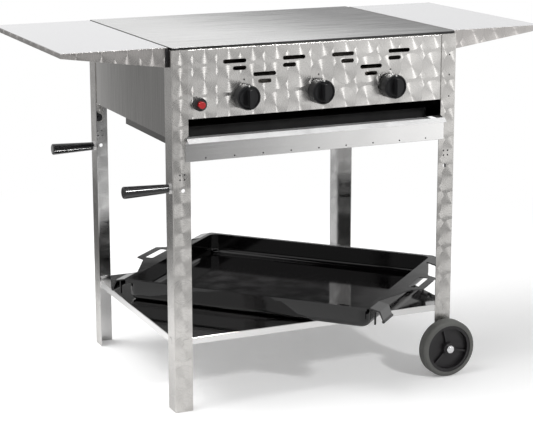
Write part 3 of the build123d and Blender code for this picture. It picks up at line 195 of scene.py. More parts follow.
class Nodes:
    """Adds and joins nodes in one tree."""

    def __init__(self, tree):
        self.tree = tree

    def put(self, socket, value):
        """Joins a socket to an output, or sets its value."""
        if isinstance(value, bpy.types.NodeSocket):
            self.tree.links.new(value, socket)
        elif value is not None:
            socket.default_value = value

    def add(self, kind, inputs=None, **settings):
        node = self.tree.nodes.new(kind)
        for name, value in settings.items():
            setattr(node, name, value)
        for name, value in (inputs or {}).items():
            self.put(node.inputs[name], value)
        return node

    def math(self, operation, *values):
        node = self.add("ShaderNodeMath", operation=operation)
        for socket, value in zip(node.inputs, values):
            self.put(socket, value)
        return node.outputs[0]

    def vector(self, operation, *values):
        node = self.add("ShaderNodeVectorMath", operation=operation)
        for socket, value in zip(node.inputs, values):
            self.put(socket, value)
        return node.outputs["Value" if operation == "LENGTH" else "Vector"]

    def split(self, vector):
        return self.add("ShaderNodeSeparateXYZ", {"Vector": vector}).outputs

    def join(self, x, y, z):
        return self.add("ShaderNodeCombineXYZ", {"X": x, "Y": y, "Z": z}).outputs[0]

    def ramp(self, value, low, high, start=0.0, end=1.0):
        """A smooth change from start to end as value goes from low to high."""
        inputs = {"Value": value, "From Min": low, "From Max": high, "To Min": start, "To Max": end}
        return self.add("ShaderNodeMapRange", inputs, interpolation_type="SMOOTHSTEP").outputs[0]

    def choose(self, factor, a, b):
        """a where factor is 0 and b where it is 1, for numbers."""
        node = self.add("ShaderNodeMix", data_type="FLOAT")
        self.put(node.inputs[0], factor)
        self.put(node.inputs[2], a)
        self.put(node.inputs[3], b)
        return node.outputs[0]

    def shade(self, colour, factor):
        """A colour made lighter or darker."""
        node = self.add("ShaderNodeVectorMath", {0: colour, "Scale": factor}, operation="SCALE")
        return node.outputs[0]

    def tint(self, factor, a, b):
        """Colour a where factor is 0 and colour b where it is 1."""
        node = self.add("ShaderNodeMix", data_type="RGBA")
        self.put(node.inputs[0], factor)
        self.put(node.inputs[6], rgba(a))
        self.put(node.inputs[7], rgba(b))
        return node.outputs[2]

    def noise(self, vector, scale, detail=2.0, roughness=0.5):
        inputs = {"Vector": vector, "Scale": scale, "Detail": detail, "Roughness": roughness}
        return self.add("ShaderNodeTexNoise", inputs).outputs[0]

    def place(self):
        """Object coordinates and the object's own normal."""
        node = self.add("ShaderNodeTexCoord")
        return node.outputs["Object"], node.outputs["Normal"]

    def glow(self, strength):
        """White light."""
        inputs = {"Color": (1, 1, 1, 1), "Strength": strength}
        return self.add("ShaderNodeEmission", inputs).outputs[0]

    def blend(self, factor, a, b):
        """Shader a where factor is 0 and shader b where it is 1."""
        return self.add("ShaderNodeMixShader", {0: factor, 1: a, 2: b}).outputs[0]

    def bump(self, height, strength, distance):
        inputs = {"Height": height, "Strength": strength, "Distance": distance}
        return self.add("ShaderNodeBump", inputs).outputs[0]


def rgba(value):
    """A colour as four numbers; sockets pass through."""
    return value if isinstance(value, bpy.types.NodeSocket) else (*value[:3], 1.0)


def finish(n, shader_inputs):
    """Closes a material with one Principled shader."""
    shader = n.add("ShaderNodeBsdfPrincipled")
    for socket, value in shader_inputs.items():
        n.put(shader.inputs[socket], rgba(value) if socket == "Base Color" else value)
    n.put(n.add("ShaderNodeOutputMaterial").inputs[0], shader.outputs[0])


def new_material(name):
    """An empty material and its nodes."""
    material = bpy.data.materials.new(name)
    material.use_nodes = True
    material.node_tree.nodes.clear()
    return material, Nodes(material.node_tree)


def dress(material, *names):
    """Gives CAD nodes a material."""
    for name in names:
        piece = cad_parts[name]
        if not piece.material_slots:
            piece.data.materials.append(material)
        for slot in piece.material_slots:
            slot.material = material


# Steel finishes

RING_COUNT = 24.0  # grinding rings from a disc's middle to its edge
RING_SHIFT = 90.0  # sets each disc's rings apart from the next
TURNED_ROUGH = (0.25, 0.32)
SIDE_SPREAD = 0.35
LEG_INNER_ROUGH = 0.14
SHELF_TOP_ROUGH = 0.16
PLATE_ROUGH = (0.13, 0.19)
PLATE_EDGE = 0.10  # tone of the plate's edge faces, darkened as painted shade of the gap under the plate


def disc_group():
    """Overlapping turned discs on any upright or level face: the way out from a disc's middle,
    the distance from it as a share of the radius, and a number for each disc."""
    if "turned_discs" in bpy.data.node_groups:
        return bpy.data.node_groups["turned_discs"]
    sizes = bpy.context.scene.grill_sizes
    group = bpy.data.node_groups.new("turned_discs", "ShaderNodeTree")
    for name, kind in (("Outward", "Vector"), ("Reach", "Float"), ("Chance", "Float")):
        group.interface.new_socket(name=name, in_out="OUTPUT", socket_type="NodeSocket" + kind)
    n = Nodes(group)
    place, normal = n.place()
    x, y, z = n.split(place)
    nx, ny, nz = n.split(n.vector("ABSOLUTE", normal))
    level = n.math("GREATER_THAN", nz, 0.72)
    upright = n.math("SUBTRACT", 1.0, level)
    sideways = n.math("MULTIPLY", n.math("GREATER_THAN", nx, ny), upright)
    u = n.math("SUBTRACT", n.choose(sideways, x, y), sizes.disc_x)
    v = n.math("SUBTRACT", n.choose(level, z, y), sizes.disc_z)
    half = sizes.disc_column / 2
    row = sizes.disc_row
    under_u = n.math("WRAP", u, half, -half)
    under_v = n.math("WRAP", v, row, -row)
    over_u = n.math("WRAP", n.math("SUBTRACT", u, half), half, -half)
    over_v = n.math("WRAP", n.math("SUBTRACT", v, row), row, -row)
    over = n.math("LESS_THAN", n.vector("LENGTH", n.join(over_u, over_v, 0.0)), sizes.disc_radius)
    du = n.choose(over, under_u, over_u)
    dv = n.choose(over, under_v, over_v)
    reach = n.math("MAXIMUM", n.vector("LENGTH", n.join(du, dv, 0.0)), 1e-5)
    cu = n.math("DIVIDE", du, reach)
    cv = n.math("DIVIDE", dv, reach)
    out_x = n.math("MULTIPLY", cu, n.math("SUBTRACT", 1.0, sideways))
    out_y = n.math("ADD", n.math("MULTIPLY", cu, sideways), n.math("MULTIPLY", cv, level))
    out_z = n.math("MULTIPLY", cv, upright)
    middle = n.join(n.math("SUBTRACT", u, du), n.math("SUBTRACT", v, dv), sideways)
    spot = n.vector("SNAP", n.vector("ADD", middle, (half / 2, row / 2, 0.0)), (half, row, 0.5))
    chance = n.add("ShaderNodeTexWhiteNoise", {"Vector": spot}, noise_dimensions="3D").outputs[0]
    out = n.add("NodeGroupOutput")
    n.put(out.inputs["Outward"], n.join(out_x, out_y, out_z))
    n.put(out.inputs["Reach"], n.math("DIVIDE", reach, sizes.disc_radius))
    n.put(out.inputs["Chance"], chance)
    return group


def turned_look(n, base):
    """Colour, roughness and highlight direction of turned steel, in a material's nodes."""
    discs = n.add("ShaderNodeGroup", node_tree=disc_group()).outputs
    place, _ = n.place()
    turns = n.math("MULTIPLY", discs["Reach"], RING_COUNT)
    turns = n.math("ADD", turns, n.math("MULTIPLY", discs["Chance"], RING_SHIFT))
    inputs = {"W": turns, "Scale": 1.0, "Detail": 3.0}
    rings = n.add("ShaderNodeTexNoise", inputs, noise_dimensions="1D").outputs[0]
    shade = n.math("ADD", n.math("MULTIPLY", discs["Chance"], 0.12), 0.92)
    shade = n.math("MULTIPLY", shade, n.ramp(rings, 0.25, 0.75, 0.95, 1.04))
    shade = n.math("MULTIPLY", shade, n.ramp(discs["Reach"], 0.80, 1.0, 1.0, 0.95))
    shade = n.math("MULTIPLY", shade, n.ramp(n.noise(place, 7.0, 2.0), 0.3, 0.7, 0.94, 1.04))
    rough = n.ramp(rings, 0.2, 0.8, *TURNED_ROUGH)
    return n.shade(base, shade), rough, discs["Outward"]


def turned_spread(n, front=0.92):
    """Strength of the discs: plain on the front and rear, faint on the side faces."""
    nx, ny, _ = n.split(n.vector("ABSOLUTE", n.place()[1]))
    return n.choose(n.math("GREATER_THAN", nx, ny), front, SIDE_SPREAD)


def turned_steel(name, base):
    """Turned discs all over."""
    material, n = new_material(name)
    tone, rough, outward = turned_look(n, base)
    finish(n, {
        "Base Color": tone, "Metallic": 1.0, "Roughness": rough,
        "Anisotropic": turned_spread(n), "Tangent": outward,
    })
    return material


def brush_marks(n, place, along, fine=900.0, long=6.0):
    """Noise drawn out along one axis, 0 to 1."""
    scale = [fine, fine, fine]
    scale["XYZ".index(along)] = long
    return n.noise(n.vector("MULTIPLY", place, tuple(scale)), 1.0, 3.0, 0.6)


def across_brush(n, normal, along):
    """Direction in the sheet across the brush marks, along which highlights spread."""
    way = [0.03, 0.02, 0.025]
    way["XYZ".index(along)] = 1.0
    return n.vector("NORMALIZE", n.vector("CROSS_PRODUCT", normal, tuple(way)))


def brushed_steel(name, base, along, rough=0.30, spread=0.75, depth=0.10, fine=900.0, long=6.0):
    """Sheet steel brushed along one axis."""
    material, n = new_material(name)
    place, normal = n.place()
    marks = brush_marks(n, place, along, fine, long)
    cloud = n.noise(place, 5.0, 3.0)
    shade = n.ramp(marks, 0.25, 0.75, 1.0 - depth, 1.0 + depth * 0.6)
    shade = n.math("MULTIPLY", shade, n.ramp(cloud, 0.3, 0.7, 0.95, 1.04))
    finish(n, {
        "Base Color": n.shade(base, shade), "Metallic": 1.0,
        "Roughness": n.ramp(marks, 0.2, 0.8, rough * 0.85, rough * 1.2),
        "Anisotropic": spread, "Tangent": across_brush(n, normal, along),
    })
    return material


def leg_steel():
    """Turned steel on the outer faces of a leg, polished steel on its inner faces."""
    material, n = new_material("leg_steel")
    colours = bpy.context.scene.grill_colours
    tone, rough, outward = turned_look(n, tuple(colours.post))
    place, normal = n.place()
    px, py, _ = n.split(n.vector("SIGN", place))
    nx, ny, _ = n.split(normal)
    away = n.math("ADD", n.math("MULTIPLY", px, nx), n.math("MULTIPLY", py, ny))
    outer = n.math("GREATER_THAN", away, 0.3)
    marks = n.ramp(brush_marks(n, place, "Z"), 0.25, 0.75, 0.93, 1.03)
    inner = n.shade(tuple(colours.polished), marks)
    finish(n, {
        "Base Color": n.tint(outer, inner, tone), "Metallic": 1.0,
        "Roughness": n.choose(outer, LEG_INNER_ROUGH, rough),
        "Anisotropic": turned_spread(n, front=0.85), "Tangent": outward,
    })
    return material


def shelf_steel():
    """Side shelf: smooth top and underside, turned steel on the flanges."""
    material, n = new_material("shelf_steel")
    colours = bpy.context.scene.grill_colours
    tone, rough, outward = turned_look(n, tuple(colours.flange))
    place, normal = n.place()
    level = n.math("GREATER_THAN", n.math("ABSOLUTE", n.split(normal)[2]), 0.7)
    marks = n.ramp(brush_marks(n, place, "Y", fine=500.0, long=3.0), 0.2, 0.8, 0.97, 1.02)
    smooth = n.shade(tuple(colours.shelf), marks)
    upright = n.math("SUBTRACT", 1.0, level)
    ways = n.vector("ADD", n.shade(outward, upright), n.join(level, 0.0, 0.0))
    finish(n, {
        "Base Color": n.tint(level, tone, smooth), "Metallic": 1.0,
        "Roughness": n.choose(level, rough, SHELF_TOP_ROUGH), "Anisotropic": 0.9, "Tangent": ways,
    })
    return material


def plate_steel():
    """Griddle plate: streaks along its length, and a painted reflection that darkens it towards the
    rear right.
    """
    material, n = new_material("plate_steel")
    colours = bpy.context.scene.grill_colours
    place, normal = n.place()
    x, y, _ = n.split(place)
    marks = brush_marks(n, place, "X", fine=230.0, long=5.0)
    wide = brush_marks(n, place, "X", fine=60.0, long=1.5)
    # Painted reflection: colour and specular tint fall from full at the front left to about half at
    # the rear right, and the brush streaks are drawn deeper towards the rear right.
    across = n.math("ADD", x, n.math("MULTIPLY", y, 0.25))
    depth = n.ramp(across, -0.35, 0.30, 0.10, 0.45)
    depth = n.math("MULTIPLY", depth, n.ramp(marks, 0.30, 0.62, 1.0, 0.0))
    shade = n.ramp(across, -0.25, 0.42, 1.0, 0.52)
    shade = n.math("MULTIPLY", shade, n.math("SUBTRACT", 1.0, depth))
    shade = n.math("MULTIPLY", shade, n.ramp(wide, 0.3, 0.7, 0.94, 1.0))
    # Painted shade: the plate's edge faces are drawn near black, for the shadowed gap between the
    # plate and the rim.
    edge = n.math("LESS_THAN", n.math("ABSOLUTE", n.split(normal)[2]), 0.6)
    shade = n.math("MULTIPLY", shade, n.choose(edge, 1.0, PLATE_EDGE))
    shade = n.math("MULTIPLY", shade, n.ramp(n.noise(place, 3.5, 3.0), 0.3, 0.7, 0.97, 1.0))
    finish(n, {
        "Base Color": n.shade(tuple(colours.plate), shade), "Metallic": 1.0,
        "Specular Tint": n.shade((1.0, 1.0, 1.0), shade),
        "Roughness": n.ramp(marks, 0.2, 0.8, *PLATE_ROUGH),
        "Anisotropic": 0.6, "Tangent": across_brush(n, normal, "X"),
    })
    return material


# Other finishes

ENAMEL_SPECK = (0.05, 0.05, 0.052)


def smooth_metal(name, base, rough, wear=0.06, scale=40.0, metal=1.0):
    """Plain metal with faint stains."""
    material, n = new_material(name)
    place, _ = n.place()
    stain = n.noise(place, scale, 4.0)
    tone = n.ramp(stain, 0.3, 0.75, 1.0 - wear, 1.0 + wear * 0.5)
    finish(n, {
        "Base Color": n.shade(base, tone), "Metallic": metal,
        "Roughness": n.ramp(stain, 0.25, 0.75, rough * 0.85, rough * 1.2),
    })
    return material


def black_enamel(name, low, high, shine=0.5):
    """Black enamel with a slight ripple and fine specks, its roughness from low to high."""
    material, n = new_material(name)
    colours = bpy.context.scene.grill_colours
    place, _ = n.place()
    specks = n.ramp(n.noise(place, 900.0, 1.0), 0.70, 0.76)
    specks = n.math("MULTIPLY", specks, 0.35)
    finish(n, {
        "Base Color": n.tint(specks, tuple(colours.enamel), ENAMEL_SPECK),
        "Roughness": n.ramp(n.noise(place, 20.0, 3.0), 0.3, 0.7, low, high),
        "IOR": 1.52, "Specular IOR Level": shine,
        "Normal": n.bump(n.noise(place, 160.0, 2.0), 0.05, 0.0004),
    })
    return material


def moulded(name, base, rough, grain=0.12, size=1400.0, coat=0.0, shine=0.5):
    """Moulded plastic or rubber with a fine grain."""
    material, n = new_material(name)
    place, _ = n.place()
    dull = n.noise(place, 25.0, 3.0)
    finish(n, {
        "Base Color": n.shade(base, n.ramp(dull, 0.3, 0.7, 0.88, 1.12)),
        "Roughness": n.ramp(dull, 0.3, 0.7, rough * 0.88, rough * 1.12),
        "Coat Weight": coat, "Coat Roughness": 0.12, "Specular IOR Level": shine,
        "Normal": n.bump(n.noise(place, size, 2.0), grain, 0.0003),
    })
    return material


# Mesh helpers


def mesh_object(name, build):
    """A mesh object at the origin, its shape filled in by build(bmesh)."""
    shape = bmesh.new()
    build(shape)
    bmesh.ops.remove_doubles(shape, verts=shape.verts, dist=1e-6)
    bmesh.ops.recalc_face_normals(shape, faces=shape.faces)
    mesh = bpy.data.meshes.new(name)
    shape.to_mesh(mesh)
    shape.free()
    piece = bpy.data.objects.new(name, mesh)
    bpy.context.scene.collection.objects.link(piece)
    return piece


def geometry_piece(name, build, inputs, material):
    """Runs a Geometry Nodes tree once and keeps its result as a plain mesh piece.

    build(n, group_in) returns the geometry; inputs are (name, value) pairs."""
    group = bpy.data.node_groups.new(name + "_tree", "GeometryNodeTree")
    group.interface.new_socket(name="Geometry", in_out="OUTPUT", socket_type="NodeSocketGeometry")
    keys = {}
    for label, value in inputs:
        kind = "NodeSocketInt" if isinstance(value, int) else "NodeSocketFloat"
        socket = group.interface.new_socket(name=label, in_out="INPUT", socket_type=kind)
        keys[label] = socket.identifier
    n = Nodes(group)
    given = n.add("NodeGroupInput").outputs
    shape = build(n, given)
    for kind, more in (
        ("GeometryNodeRealizeInstances", {}),
        ("GeometryNodeSetShadeSmooth", {"Shade Smooth": True}),
        ("GeometryNodeSetMaterial", {"Material": material}),
    ):
        shape = n.add(kind, {"Geometry": shape, **more}).outputs[0]
    n.put(n.add("NodeGroupOutput").inputs[0], shape)
    maker = bpy.data.objects.new(name + "_maker", bpy.data.meshes.new(name + "_maker"))
    bpy.context.scene.collection.objects.link(maker)
    modifier = maker.modifiers.new("tree", "NODES")
    modifier.node_group = group
    for label, value in inputs:
        modifier[keys[label]] = value
    bpy.context.view_layer.update()
    seen = maker.evaluated_get(bpy.context.evaluated_depsgraph_get())
    mesh = bpy.data.meshes.new_from_object(seen)
    bpy.data.objects.remove(maker)
    if not len(mesh.polygons):
        raise RuntimeError(name + " came out empty")
    mesh.name = name
    piece = bpy.data.objects.new(name, mesh)
    bpy.context.scene.collection.objects.link(piece)
    return piece


def row(n, count, start, step):
    """Points in a line."""
    inputs = {"Count": count, "Start Location": start, "Offset": step}
    return n.add("GeometryNodeMeshLine", inputs).outputs[0]


def corners(n, wide, deep):
    """The four corners of a level rectangle."""
    inputs = {"Size X": wide, "Size Y": deep, "Vertices X": 2, "Vertices Y": 2}
    return n.add("GeometryNodeMeshGrid", inputs).outputs[0]


def changed(n, shape, **change):
    """A shape moved, turned or scaled."""
    return n.add("GeometryNodeTransform", {"Geometry": shape, **change}).outputs[0]


def flat_ball(n, radius, segments, rings, flat):
    """A ball flattened along Y."""
    inputs = {"Segments": segments, "Rings": rings, "Radius": radius}
    ball = n.add("GeometryNodeMeshUVSphere", inputs).outputs[0]
    return changed(n, ball, Scale=(1.0, flat, 1.0))


def circle(n, resolution, radius):
    inputs = {"Resolution": resolution, "Radius": radius}
    return n.add("GeometryNodeCurvePrimitiveCircle", inputs).outputs[0]


def copies(n, points, shape, rotation=None):
    """A shape on each point."""
    inputs = {"Points": points, "Instance": shape, "Rotation": rotation}
    return n.add("GeometryNodeInstanceOnPoints", inputs).outputs[0]


# Operators, one for each group of pieces

# Shape of the dark pieces put in the small holes as painted shade.
PLUG = {"segments": 16, "rings": 8, "flat": 0.2}
DOT = {"segments": 20, "rings": 10, "flat": 0.22}
BEAM_HOLES = 9


class GRILL_OT_box(bpy.types.Operator):
    """Finish the burner box: control panel, corner posts, side and rear panels, tray rails"""

    bl_idname = "grill.box"
    bl_label = "Burner box"

    def execute(self, context):
        colours = context.scene.grill_colours
        dress(turned_steel("turned_steel", tuple(colours.turned)), "control_panel")
        dress(turned_steel("post_steel", tuple(colours.post)), *("post_" + c for c in CORNERS))
        dress(
            brushed_steel(
                "side_panel_steel", tuple(colours.brushed), "Z",
                rough=0.05, spread=0.3, depth=0.22, fine=420.0, long=4.0,
            ),
            "side_panel_left", "side_panel_right", "rear_panel",
        )
        dress(
            brushed_steel("rail_steel", tuple(colours.rail), "Y", rough=0.34, spread=0.5),
            "tray_rail_left", "tray_rail_right",
        )
        dress(smooth_metal("fixing_steel", tuple(colours.fixing), 0.30), "body_fixings")
        return {"FINISHED"}


class GRILL_OT_top(bpy.types.Operator):
    """Finish the griddle plate, the side shelves and their bumpers"""

    bl_idname = "grill.top"
    bl_label = "Griddle and side shelves"

    def execute(self, context):
        colours = context.scene.grill_colours
        dress(plate_steel(), "griddle_plate")
        dress(shelf_steel(), "side_shelf_left", "side_shelf_right")
        dress(moulded("bumper_rubber", tuple(colours.matt), 0.55), "shelf_bumpers")
        return {"FINISHED"}


class GRILL_OT_stand(bpy.types.Operator):
    """Finish the legs, the front beam and the lower shelf, and put dark pieces in the small holes
    as painted shade
    """

    bl_idname = "grill.stand"
    bl_label = "Stand"

    def execute(self, context):
        colours = context.scene.grill_colours
        sizes = context.scene.grill_sizes
        dress(leg_steel(), *("leg_" + c for c in CORNERS))
        steel = tuple(colours.polished)
        beam = brushed_steel("beam_steel", steel, "X", rough=0.16, spread=0.5, depth=0.04)
        dress(beam, "front_beam")
        dress(
            brushed_steel("lower_shelf_steel", steel, "X", rough=0.055, spread=0.3, depth=0.03),
            "lower_shelf",
        )
        # Painted shade: dark pieces sit in the open holes of the beam and the legs, where the real
        # holes show only shade.
        dark = moulded("plug_rubber", tuple(colours.matt), 0.6)
        low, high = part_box("front_beam")

        def beam_plugs(n, given):
            spaces = n.math("SUBTRACT", given["Count"], 1)
            first = n.math("MULTIPLY", spaces, n.math("MULTIPLY", given["Pitch"], -0.5))
            start = n.join(first, low.y + sizes.plug_recess, low.z + sizes.beam_hole_up)
            points = row(n, given["Count"], start, n.join(given["Pitch"], 0.0, 0.0))
            return copies(n, points, flat_ball(n, given["Radius"], **PLUG))

        values = [
            ("Count", BEAM_HOLES), ("Pitch", sizes.beam_hole_pitch), ("Radius", sizes.plug_radius),
        ]
        piece = geometry_piece("beam_plugs", beam_plugs, values, dark)
        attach(piece, "frame")
        low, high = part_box("leg_front_left")
        across = -2 * (low.x + sizes.leg_hole_in)
        through = -2 * (low.y + sizes.plug_recess)

        def leg_plugs(n, given):
            up = n.join(0.0, 0.0, n.math("SUBTRACT", high.z, given["Down"]))
            legs = changed(n, corners(n, across, through), Translation=up)
            four = corners(n, given["Pitch"], given["Pitch"])
            four = changed(n, four, Rotation=(math.pi / 2, 0.0, 0.0))
            four = copies(n, four, flat_ball(n, given["Radius"], **PLUG))
            return copies(n, legs, four)

        values = [
            ("Pitch", sizes.leg_hole_pitch), ("Down", sizes.leg_hole_down),
            ("Radius", sizes.plug_radius),
        ]
        piece = geometry_piece("leg_plugs", leg_plugs, values, dark)
        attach(piece, "frame")
        return {"FINISHED"}


class GRILL_OT_controls(bpy.types.Operator):
    """Finish the knobs and the igniter, and put a white dot on each knob"""

    bl_idname = "grill.controls"
    bl_label = "Controls"

    def execute(self, context):
        colours = context.scene.grill_colours
        sizes = context.scene.grill_sizes
        knob_black = moulded(
            "knob_plastic", tuple(colours.gloss), 0.32, grain=0.05, size=900.0, shine=0.3
        )
        dress(knob_black, "knob_bezels", *("knob_" + k for k in KNOBS))
        dress(moulded("igniter_plastic", tuple(colours.matt), 0.45), "igniter_body", "igniter_nut")
        dress(
            moulded("button_plastic", tuple(colours.red), 0.28, grain=0.04, size=900.0, coat=0.5),
            "igniter_button",
        )
        stem = smooth_metal("stem_steel", tuple(colours.chrome), 0.25)
        dress(stem, *("valve_stem_" + k for k in KNOBS))
        collar = smooth_metal("collar_steel", tuple(colours.polished), 0.35)
        dress(collar, *("valve_collar_" + k for k in KNOBS))
        paint = moulded("dot_paint", tuple(colours.white), 0.5, grain=0.03)
        for knob in KNOBS:
            low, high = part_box("knob_" + knob)
            middle = (low + high) / 2
            face = high.y - sizes.knob_length
            out = (high.x - low.x) / 2 - sizes.dot_edge

            def dot(n, given):
                spot = n.join(middle.x, face, n.math("ADD", middle.z, given["Out"]))
                inputs = {"Count": given["Count"], "Position": spot}
                points = n.add("GeometryNodePoints", inputs).outputs[0]
                return copies(n, points, flat_ball(n, given["Radius"], **DOT))

            values = [("Count", 1), ("Radius", sizes.dot_radius), ("Out", out)]
            piece = geometry_piece("knob_dot_" + knob, dot, values, paint)
            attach(piece, "knob_" + knob)
        return {"FINISHED"}


class GRILL_OT_gas(bpy.types.Operator):
    """Finish the gas train and the burners, and add the inlet's thread"""

    bl_idname = "grill.gas"
    bl_label = "Gas and burners"

    def execute(self, context):
        colours = context.scene.grill_colours
        sizes = context.scene.grill_sizes
        brass = smooth_metal("valve_brass", tuple(colours.brass), 0.30, wear=0.12)
        dress(brass, "gas_inlet", *("gas_valve_" + k for k in KNOBS))
        low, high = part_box("gas_inlet")
        axis_y = (low.y + high.y) / 2
        axis_z = (low.z + high.z) / 2

        def thread(n, given):
            turns = n.math("FLOOR", n.math("DIVIDE", given["Length"], given["Pitch"]))
            step = n.join(n.math("MULTIPLY", given["Pitch"], -1.0), 0.0, 0.0)
            start = n.join(n.math("SUBTRACT", high.x, given["Pitch"]), axis_y, axis_z)
            ring = circle(n, 40, given["Radius"])
            ridge = circle(n, 6, given["Depth"])
            inputs = {"Curve": ring, "Profile Curve": ridge}
            turn = n.add("GeometryNodeCurveToMesh", inputs).outputs[0]
            return copies(n, row(n, turns, start, step), turn, (0.0, math.pi / 2, 0.0))

        values = [
            ("Pitch", sizes.thread_pitch), ("Depth", sizes.thread_depth),
            ("Length", sizes.thread_length), ("Radius", sizes.thread_radius),
        ]
        piece = geometry_piece("inlet_thread", thread, values, brass)
        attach(piece, "frame")
        dress(smooth_metal("pipe_steel", tuple(colours.polished), 0.32), "gas_pipe")
        hot = smooth_metal("burner_steel", tuple(colours.heated), 0.36, wear=0.18, scale=18.0)
        dress(hot, "burner_rests", *("burner_" + k for k in KNOBS))
        dress(moulded("electrode_ceramic", tuple(colours.white), 0.35), "ignition_electrode")
        dress(moulded("lead_rubber", tuple(colours.matt), 0.5), "ignition_lead")
        return {"FINISHED"}


class GRILL_OT_trays(bpy.types.Operator):
    """Finish the drip tray, its pull lip and the enamelled pan"""

    bl_idname = "grill.trays"
    bl_label = "Drip tray and pan"

    def execute(self, context):
        colours = context.scene.grill_colours
        dress(black_enamel("pan_enamel", 0.05, 0.09), "pan_basin", "pan_rim", "pan_handles")
        dress(black_enamel("tray_enamel", 0.6, 0.75, shine=0.35), "drip_tray")
        # Partly painted highlight: near-white, largely diffuse steel stands in for the overhead
        # light mirrored in the lip.
        lip = smooth_metal("lip_steel", tuple(colours.lip), 0.42, wear=0.03, metal=0.35)
        dress(lip, "tray_pull")
        return {"FINISHED"}


class GRILL_OT_wheels(bpy.types.Operator):
    """Finish the wheels"""

    bl_idname = "grill.wheels"
    bl_label = "Wheels"

    def execute(self, context):
        colours = context.scene.grill_colours
        tyre = moulded("tyre_rubber", tuple(colours.rubber), 0.62, grain=0.2, size=700.0)
        dress(tyre, "tyre_front", "tyre_rear")
        disc = moulded("wheel_plastic", tuple(colours.matt), 0.48, grain=0.1)
        dress(disc, "wheel_disc_front", "wheel_disc_rear")
        dress(smooth_metal("axle_chrome", tuple(colours.chrome), 0.10, wear=0.03), "wheel_axles")
        return {"FINISHED"}


class GRILL_OT_grips(bpy.types.Operator):
    """Finish the lifting handles"""

    bl_idname = "grill.grips"
    bl_label = "Lifting handles"

    def execute(self, context):
        colours = context.scene.grill_colours
        grip = moulded(
            "grip_plastic", tuple(colours.gloss), 0.16, grain=0.03, size=900.0, coat=0.3
        )
        dress(grip, "handle_grip_front", "handle_grip_rear")
        chrome = smooth_metal("collar_chrome", tuple(colours.chrome), 0.18)
        dress(chrome, "handle_collars", "handle_studs")
        return {"FINISHED"}


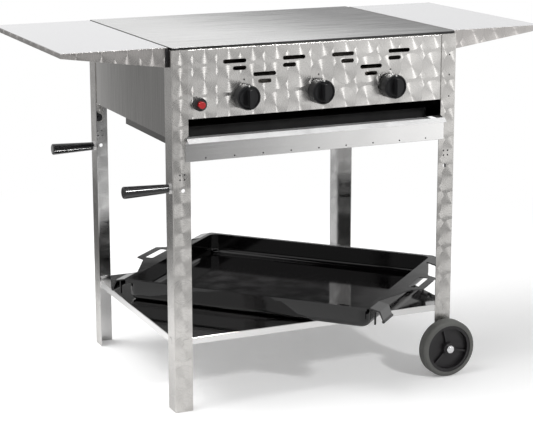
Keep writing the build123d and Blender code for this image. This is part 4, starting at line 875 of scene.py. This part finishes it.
class GRILL_OT_studio(bpy.types.Operator):
    """Set up the floor, the lamps, the surroundings and the camera"""

    bl_idname = "grill.studio"
    bl_label = "Studio"

    def execute(self, context):
        scene = context.scene
        studio = scene.grill_studio
        scene.view_settings.view_transform = "Standard"
        self.floor(scene.grill_colours)
        self.surroundings(scene, studio)
        overhead = self.lamp(
            "overhead_lamp", OVERHEAD_AT, OVERHEAD_TO, OVERHEAD_SIZE, studio.overhead
        )
        overhead.visible_glossy = False
        self.lamp("front_lamp", FRONT_AT, FRONT_TO, FRONT_SIZE, studio.key)
        self.camera(scene, studio)
        return {"FINISHED"}

    def floor(self, colours):
        def sheet(shape):
            bmesh.ops.create_grid(shape, x_segments=1, y_segments=1, size=FLOOR_HALF)
            bmesh.ops.translate(shape, vec=(0.0, FLOOR_BACK, -FLOOR_DROP), verts=shape.verts)

        floor = mesh_object("studio_floor", sheet)
        material, n = new_material("floor_paper")
        place, _ = n.place()
        away = n.vector("LENGTH", n.vector("MULTIPLY", place, (1.0, 1.0, 0.0)))
        lit = n.add("ShaderNodeBsdfDiffuse", {"Color": rgba(colours.floor)}).outputs[0]
        # Painted shade: as seen in reflections, the floor's colour darkens towards the rear and
        # away from the grill.
        fade = n.ramp(n.split(place)[1], 0.4, 1.4, 1.0, 0.25)
        fade = n.math("MULTIPLY", n.ramp(away, 0.5, 1.7, 1.0, 0.48), fade)
        dimmed = n.add("ShaderNodeBsdfDiffuse", {"Color": n.shade(tuple(colours.floor), fade)})
        raised = n.add("ShaderNodeAddShader", {0: lit, 1: n.glow(FLOOR_GLOW)}).outputs[0]
        shown = n.blend(n.ramp(away, 1.1, 2.2), raised, n.glow(1.0))
        path = n.add("ShaderNodeLightPath").outputs
        pick = n.blend(path["Is Camera Ray"], dimmed.outputs[0], shown)
        n.put(n.add("ShaderNodeOutputMaterial").inputs[0], pick)
        floor.data.materials.append(material)

    def surroundings(self, scene, studio):
        world = bpy.data.worlds.new("studio_surroundings")
        scene.world = world
        world.use_nodes = True
        world.node_tree.nodes.clear()
        n = Nodes(world.node_tree)
        x, y, z = n.split(n.add("ShaderNodeTexCoord").outputs["Generated"])
        bearing = n.math("DIVIDE", x, n.math("MAXIMUM", n.math("ABSOLUTE", y), 0.01))
        front = n.math("MULTIPLY", n.ramp(bearing, *FRONT_RISE), n.ramp(bearing, *FRONT_FALL))
        front = n.math("ADD", front, n.ramp(bearing, *FRONT_LEFT))
        front = n.choose(n.ramp(z, *FRONT_TOP), front, FRONT_TONE)
        gap = n.choose(n.ramp(bearing, *GAP_RIGHT), *GAP_TONES)
        back = n.choose(n.ramp(z, *BACKDROP_TOP), BACKDROP_TONE, gap)
        left = n.choose(n.ramp(z, *LEFT_TOP), n.ramp(x, *LEFT_WALL), BRIGHT_TONE)
        back = n.choose(n.ramp(x, *LEFT_END), left, back)
        back = n.choose(n.ramp(z, *CEILING), back, BRIGHT_TONE)
        around = n.choose(n.ramp(y, *BEHIND), front, back)
        tone = n.choose(n.ramp(z, *OVERHEAD), around, n.ramp(y, *OVERHEAD_TONE))
        path = n.add("ShaderNodeLightPath").outputs
        shine = n.math("MAXIMUM", path["Is Glossy Ray"], path["Is Transmission Ray"])
        light = n.blend(shine, n.glow(studio.around), n.glow(tone))
        shown = n.blend(path["Is Camera Ray"], light, n.glow(1.0))
        n.put(n.add("ShaderNodeOutputWorld").inputs[0], shown)

    def lamp(self, name, place, target, size, power):
        light = bpy.data.lights.new(name, "AREA")
        light.shape = "RECTANGLE"
        light.size = size
        light.size_y = size
        light.energy = power
        lamp = bpy.data.objects.new(name, light)
        bpy.context.scene.collection.objects.link(lamp)
        lamp.location = place
        way = Vector(target) - Vector(place)
        lamp.rotation_euler = way.to_track_quat("-Z", "Y").to_euler()
        return lamp

    def camera(self, scene, studio):
        lens = bpy.data.cameras.new("photo_camera")
        lens.sensor_fit = "HORIZONTAL"
        lens.sensor_width = SENSOR
        lens.lens = SENSOR * studio.focal
        lens.shift_y = studio.rise
        lens.clip_start = 0.05
        lens.clip_end = 100.0
        camera = bpy.data.objects.new("photo_camera", lens)
        scene.collection.objects.link(camera)
        camera.location = studio.eye
        turn = Matrix.Rotation(-studio.yaw, 3, "Z")
        tilt = Matrix.Rotation(math.pi / 2 - studio.pitch, 3, "X")
        lean = Matrix.Rotation(studio.roll, 3, "Z")
        camera.rotation_euler = (turn @ tilt @ lean).to_euler()
        scene.camera = camera


STEPS = (
    GRILL_OT_box,
    GRILL_OT_top,
    GRILL_OT_stand,
    GRILL_OT_controls,
    GRILL_OT_gas,
    GRILL_OT_trays,
    GRILL_OT_wheels,
    GRILL_OT_grips,
    GRILL_OT_studio,
)


class GRILL_PT_steps(bpy.types.Panel):
    """The grill's finishing steps"""

    bl_idname = "GRILL_PT_steps"
    bl_label = "Gas grill"
    bl_space_type = "VIEW_3D"
    bl_region_type = "UI"
    bl_category = "Grill"

    def draw(self, context):
        for step in STEPS:
            self.layout.operator(step.bl_idname)
        for group in ("grill_sizes", "grill_colours", "grill_studio"):
            values = getattr(context.scene, group)
            box = self.layout.box()
            for name in values.__annotations__:
                box.prop(values, name)


GROUPS = (
    ("grill_sizes", GrillSizes),
    ("grill_colours", GrillColours),
    ("grill_studio", GrillStudio),
)


def register():
    for name, group in GROUPS:
        bpy.utils.register_class(group)
        setattr(bpy.types.Scene, name, PointerProperty(type=group))
    for kind in (*STEPS, GRILL_PT_steps):
        bpy.utils.register_class(kind)


def unregister():
    for kind in (GRILL_PT_steps, *reversed(STEPS)):
        bpy.utils.unregister_class(kind)
    for name, group in reversed(GROUPS):
        delattr(bpy.types.Scene, name)
        bpy.utils.unregister_class(group)


def main():
    register()
    bpy.ops.grill.box()
    bpy.ops.grill.top()
    bpy.ops.grill.stand()
    bpy.ops.grill.controls()
    bpy.ops.grill.gas()
    bpy.ops.grill.trays()
    bpy.ops.grill.wheels()
    bpy.ops.grill.grips()
    bpy.ops.grill.studio()


if __name__ == "__main__":
    main()
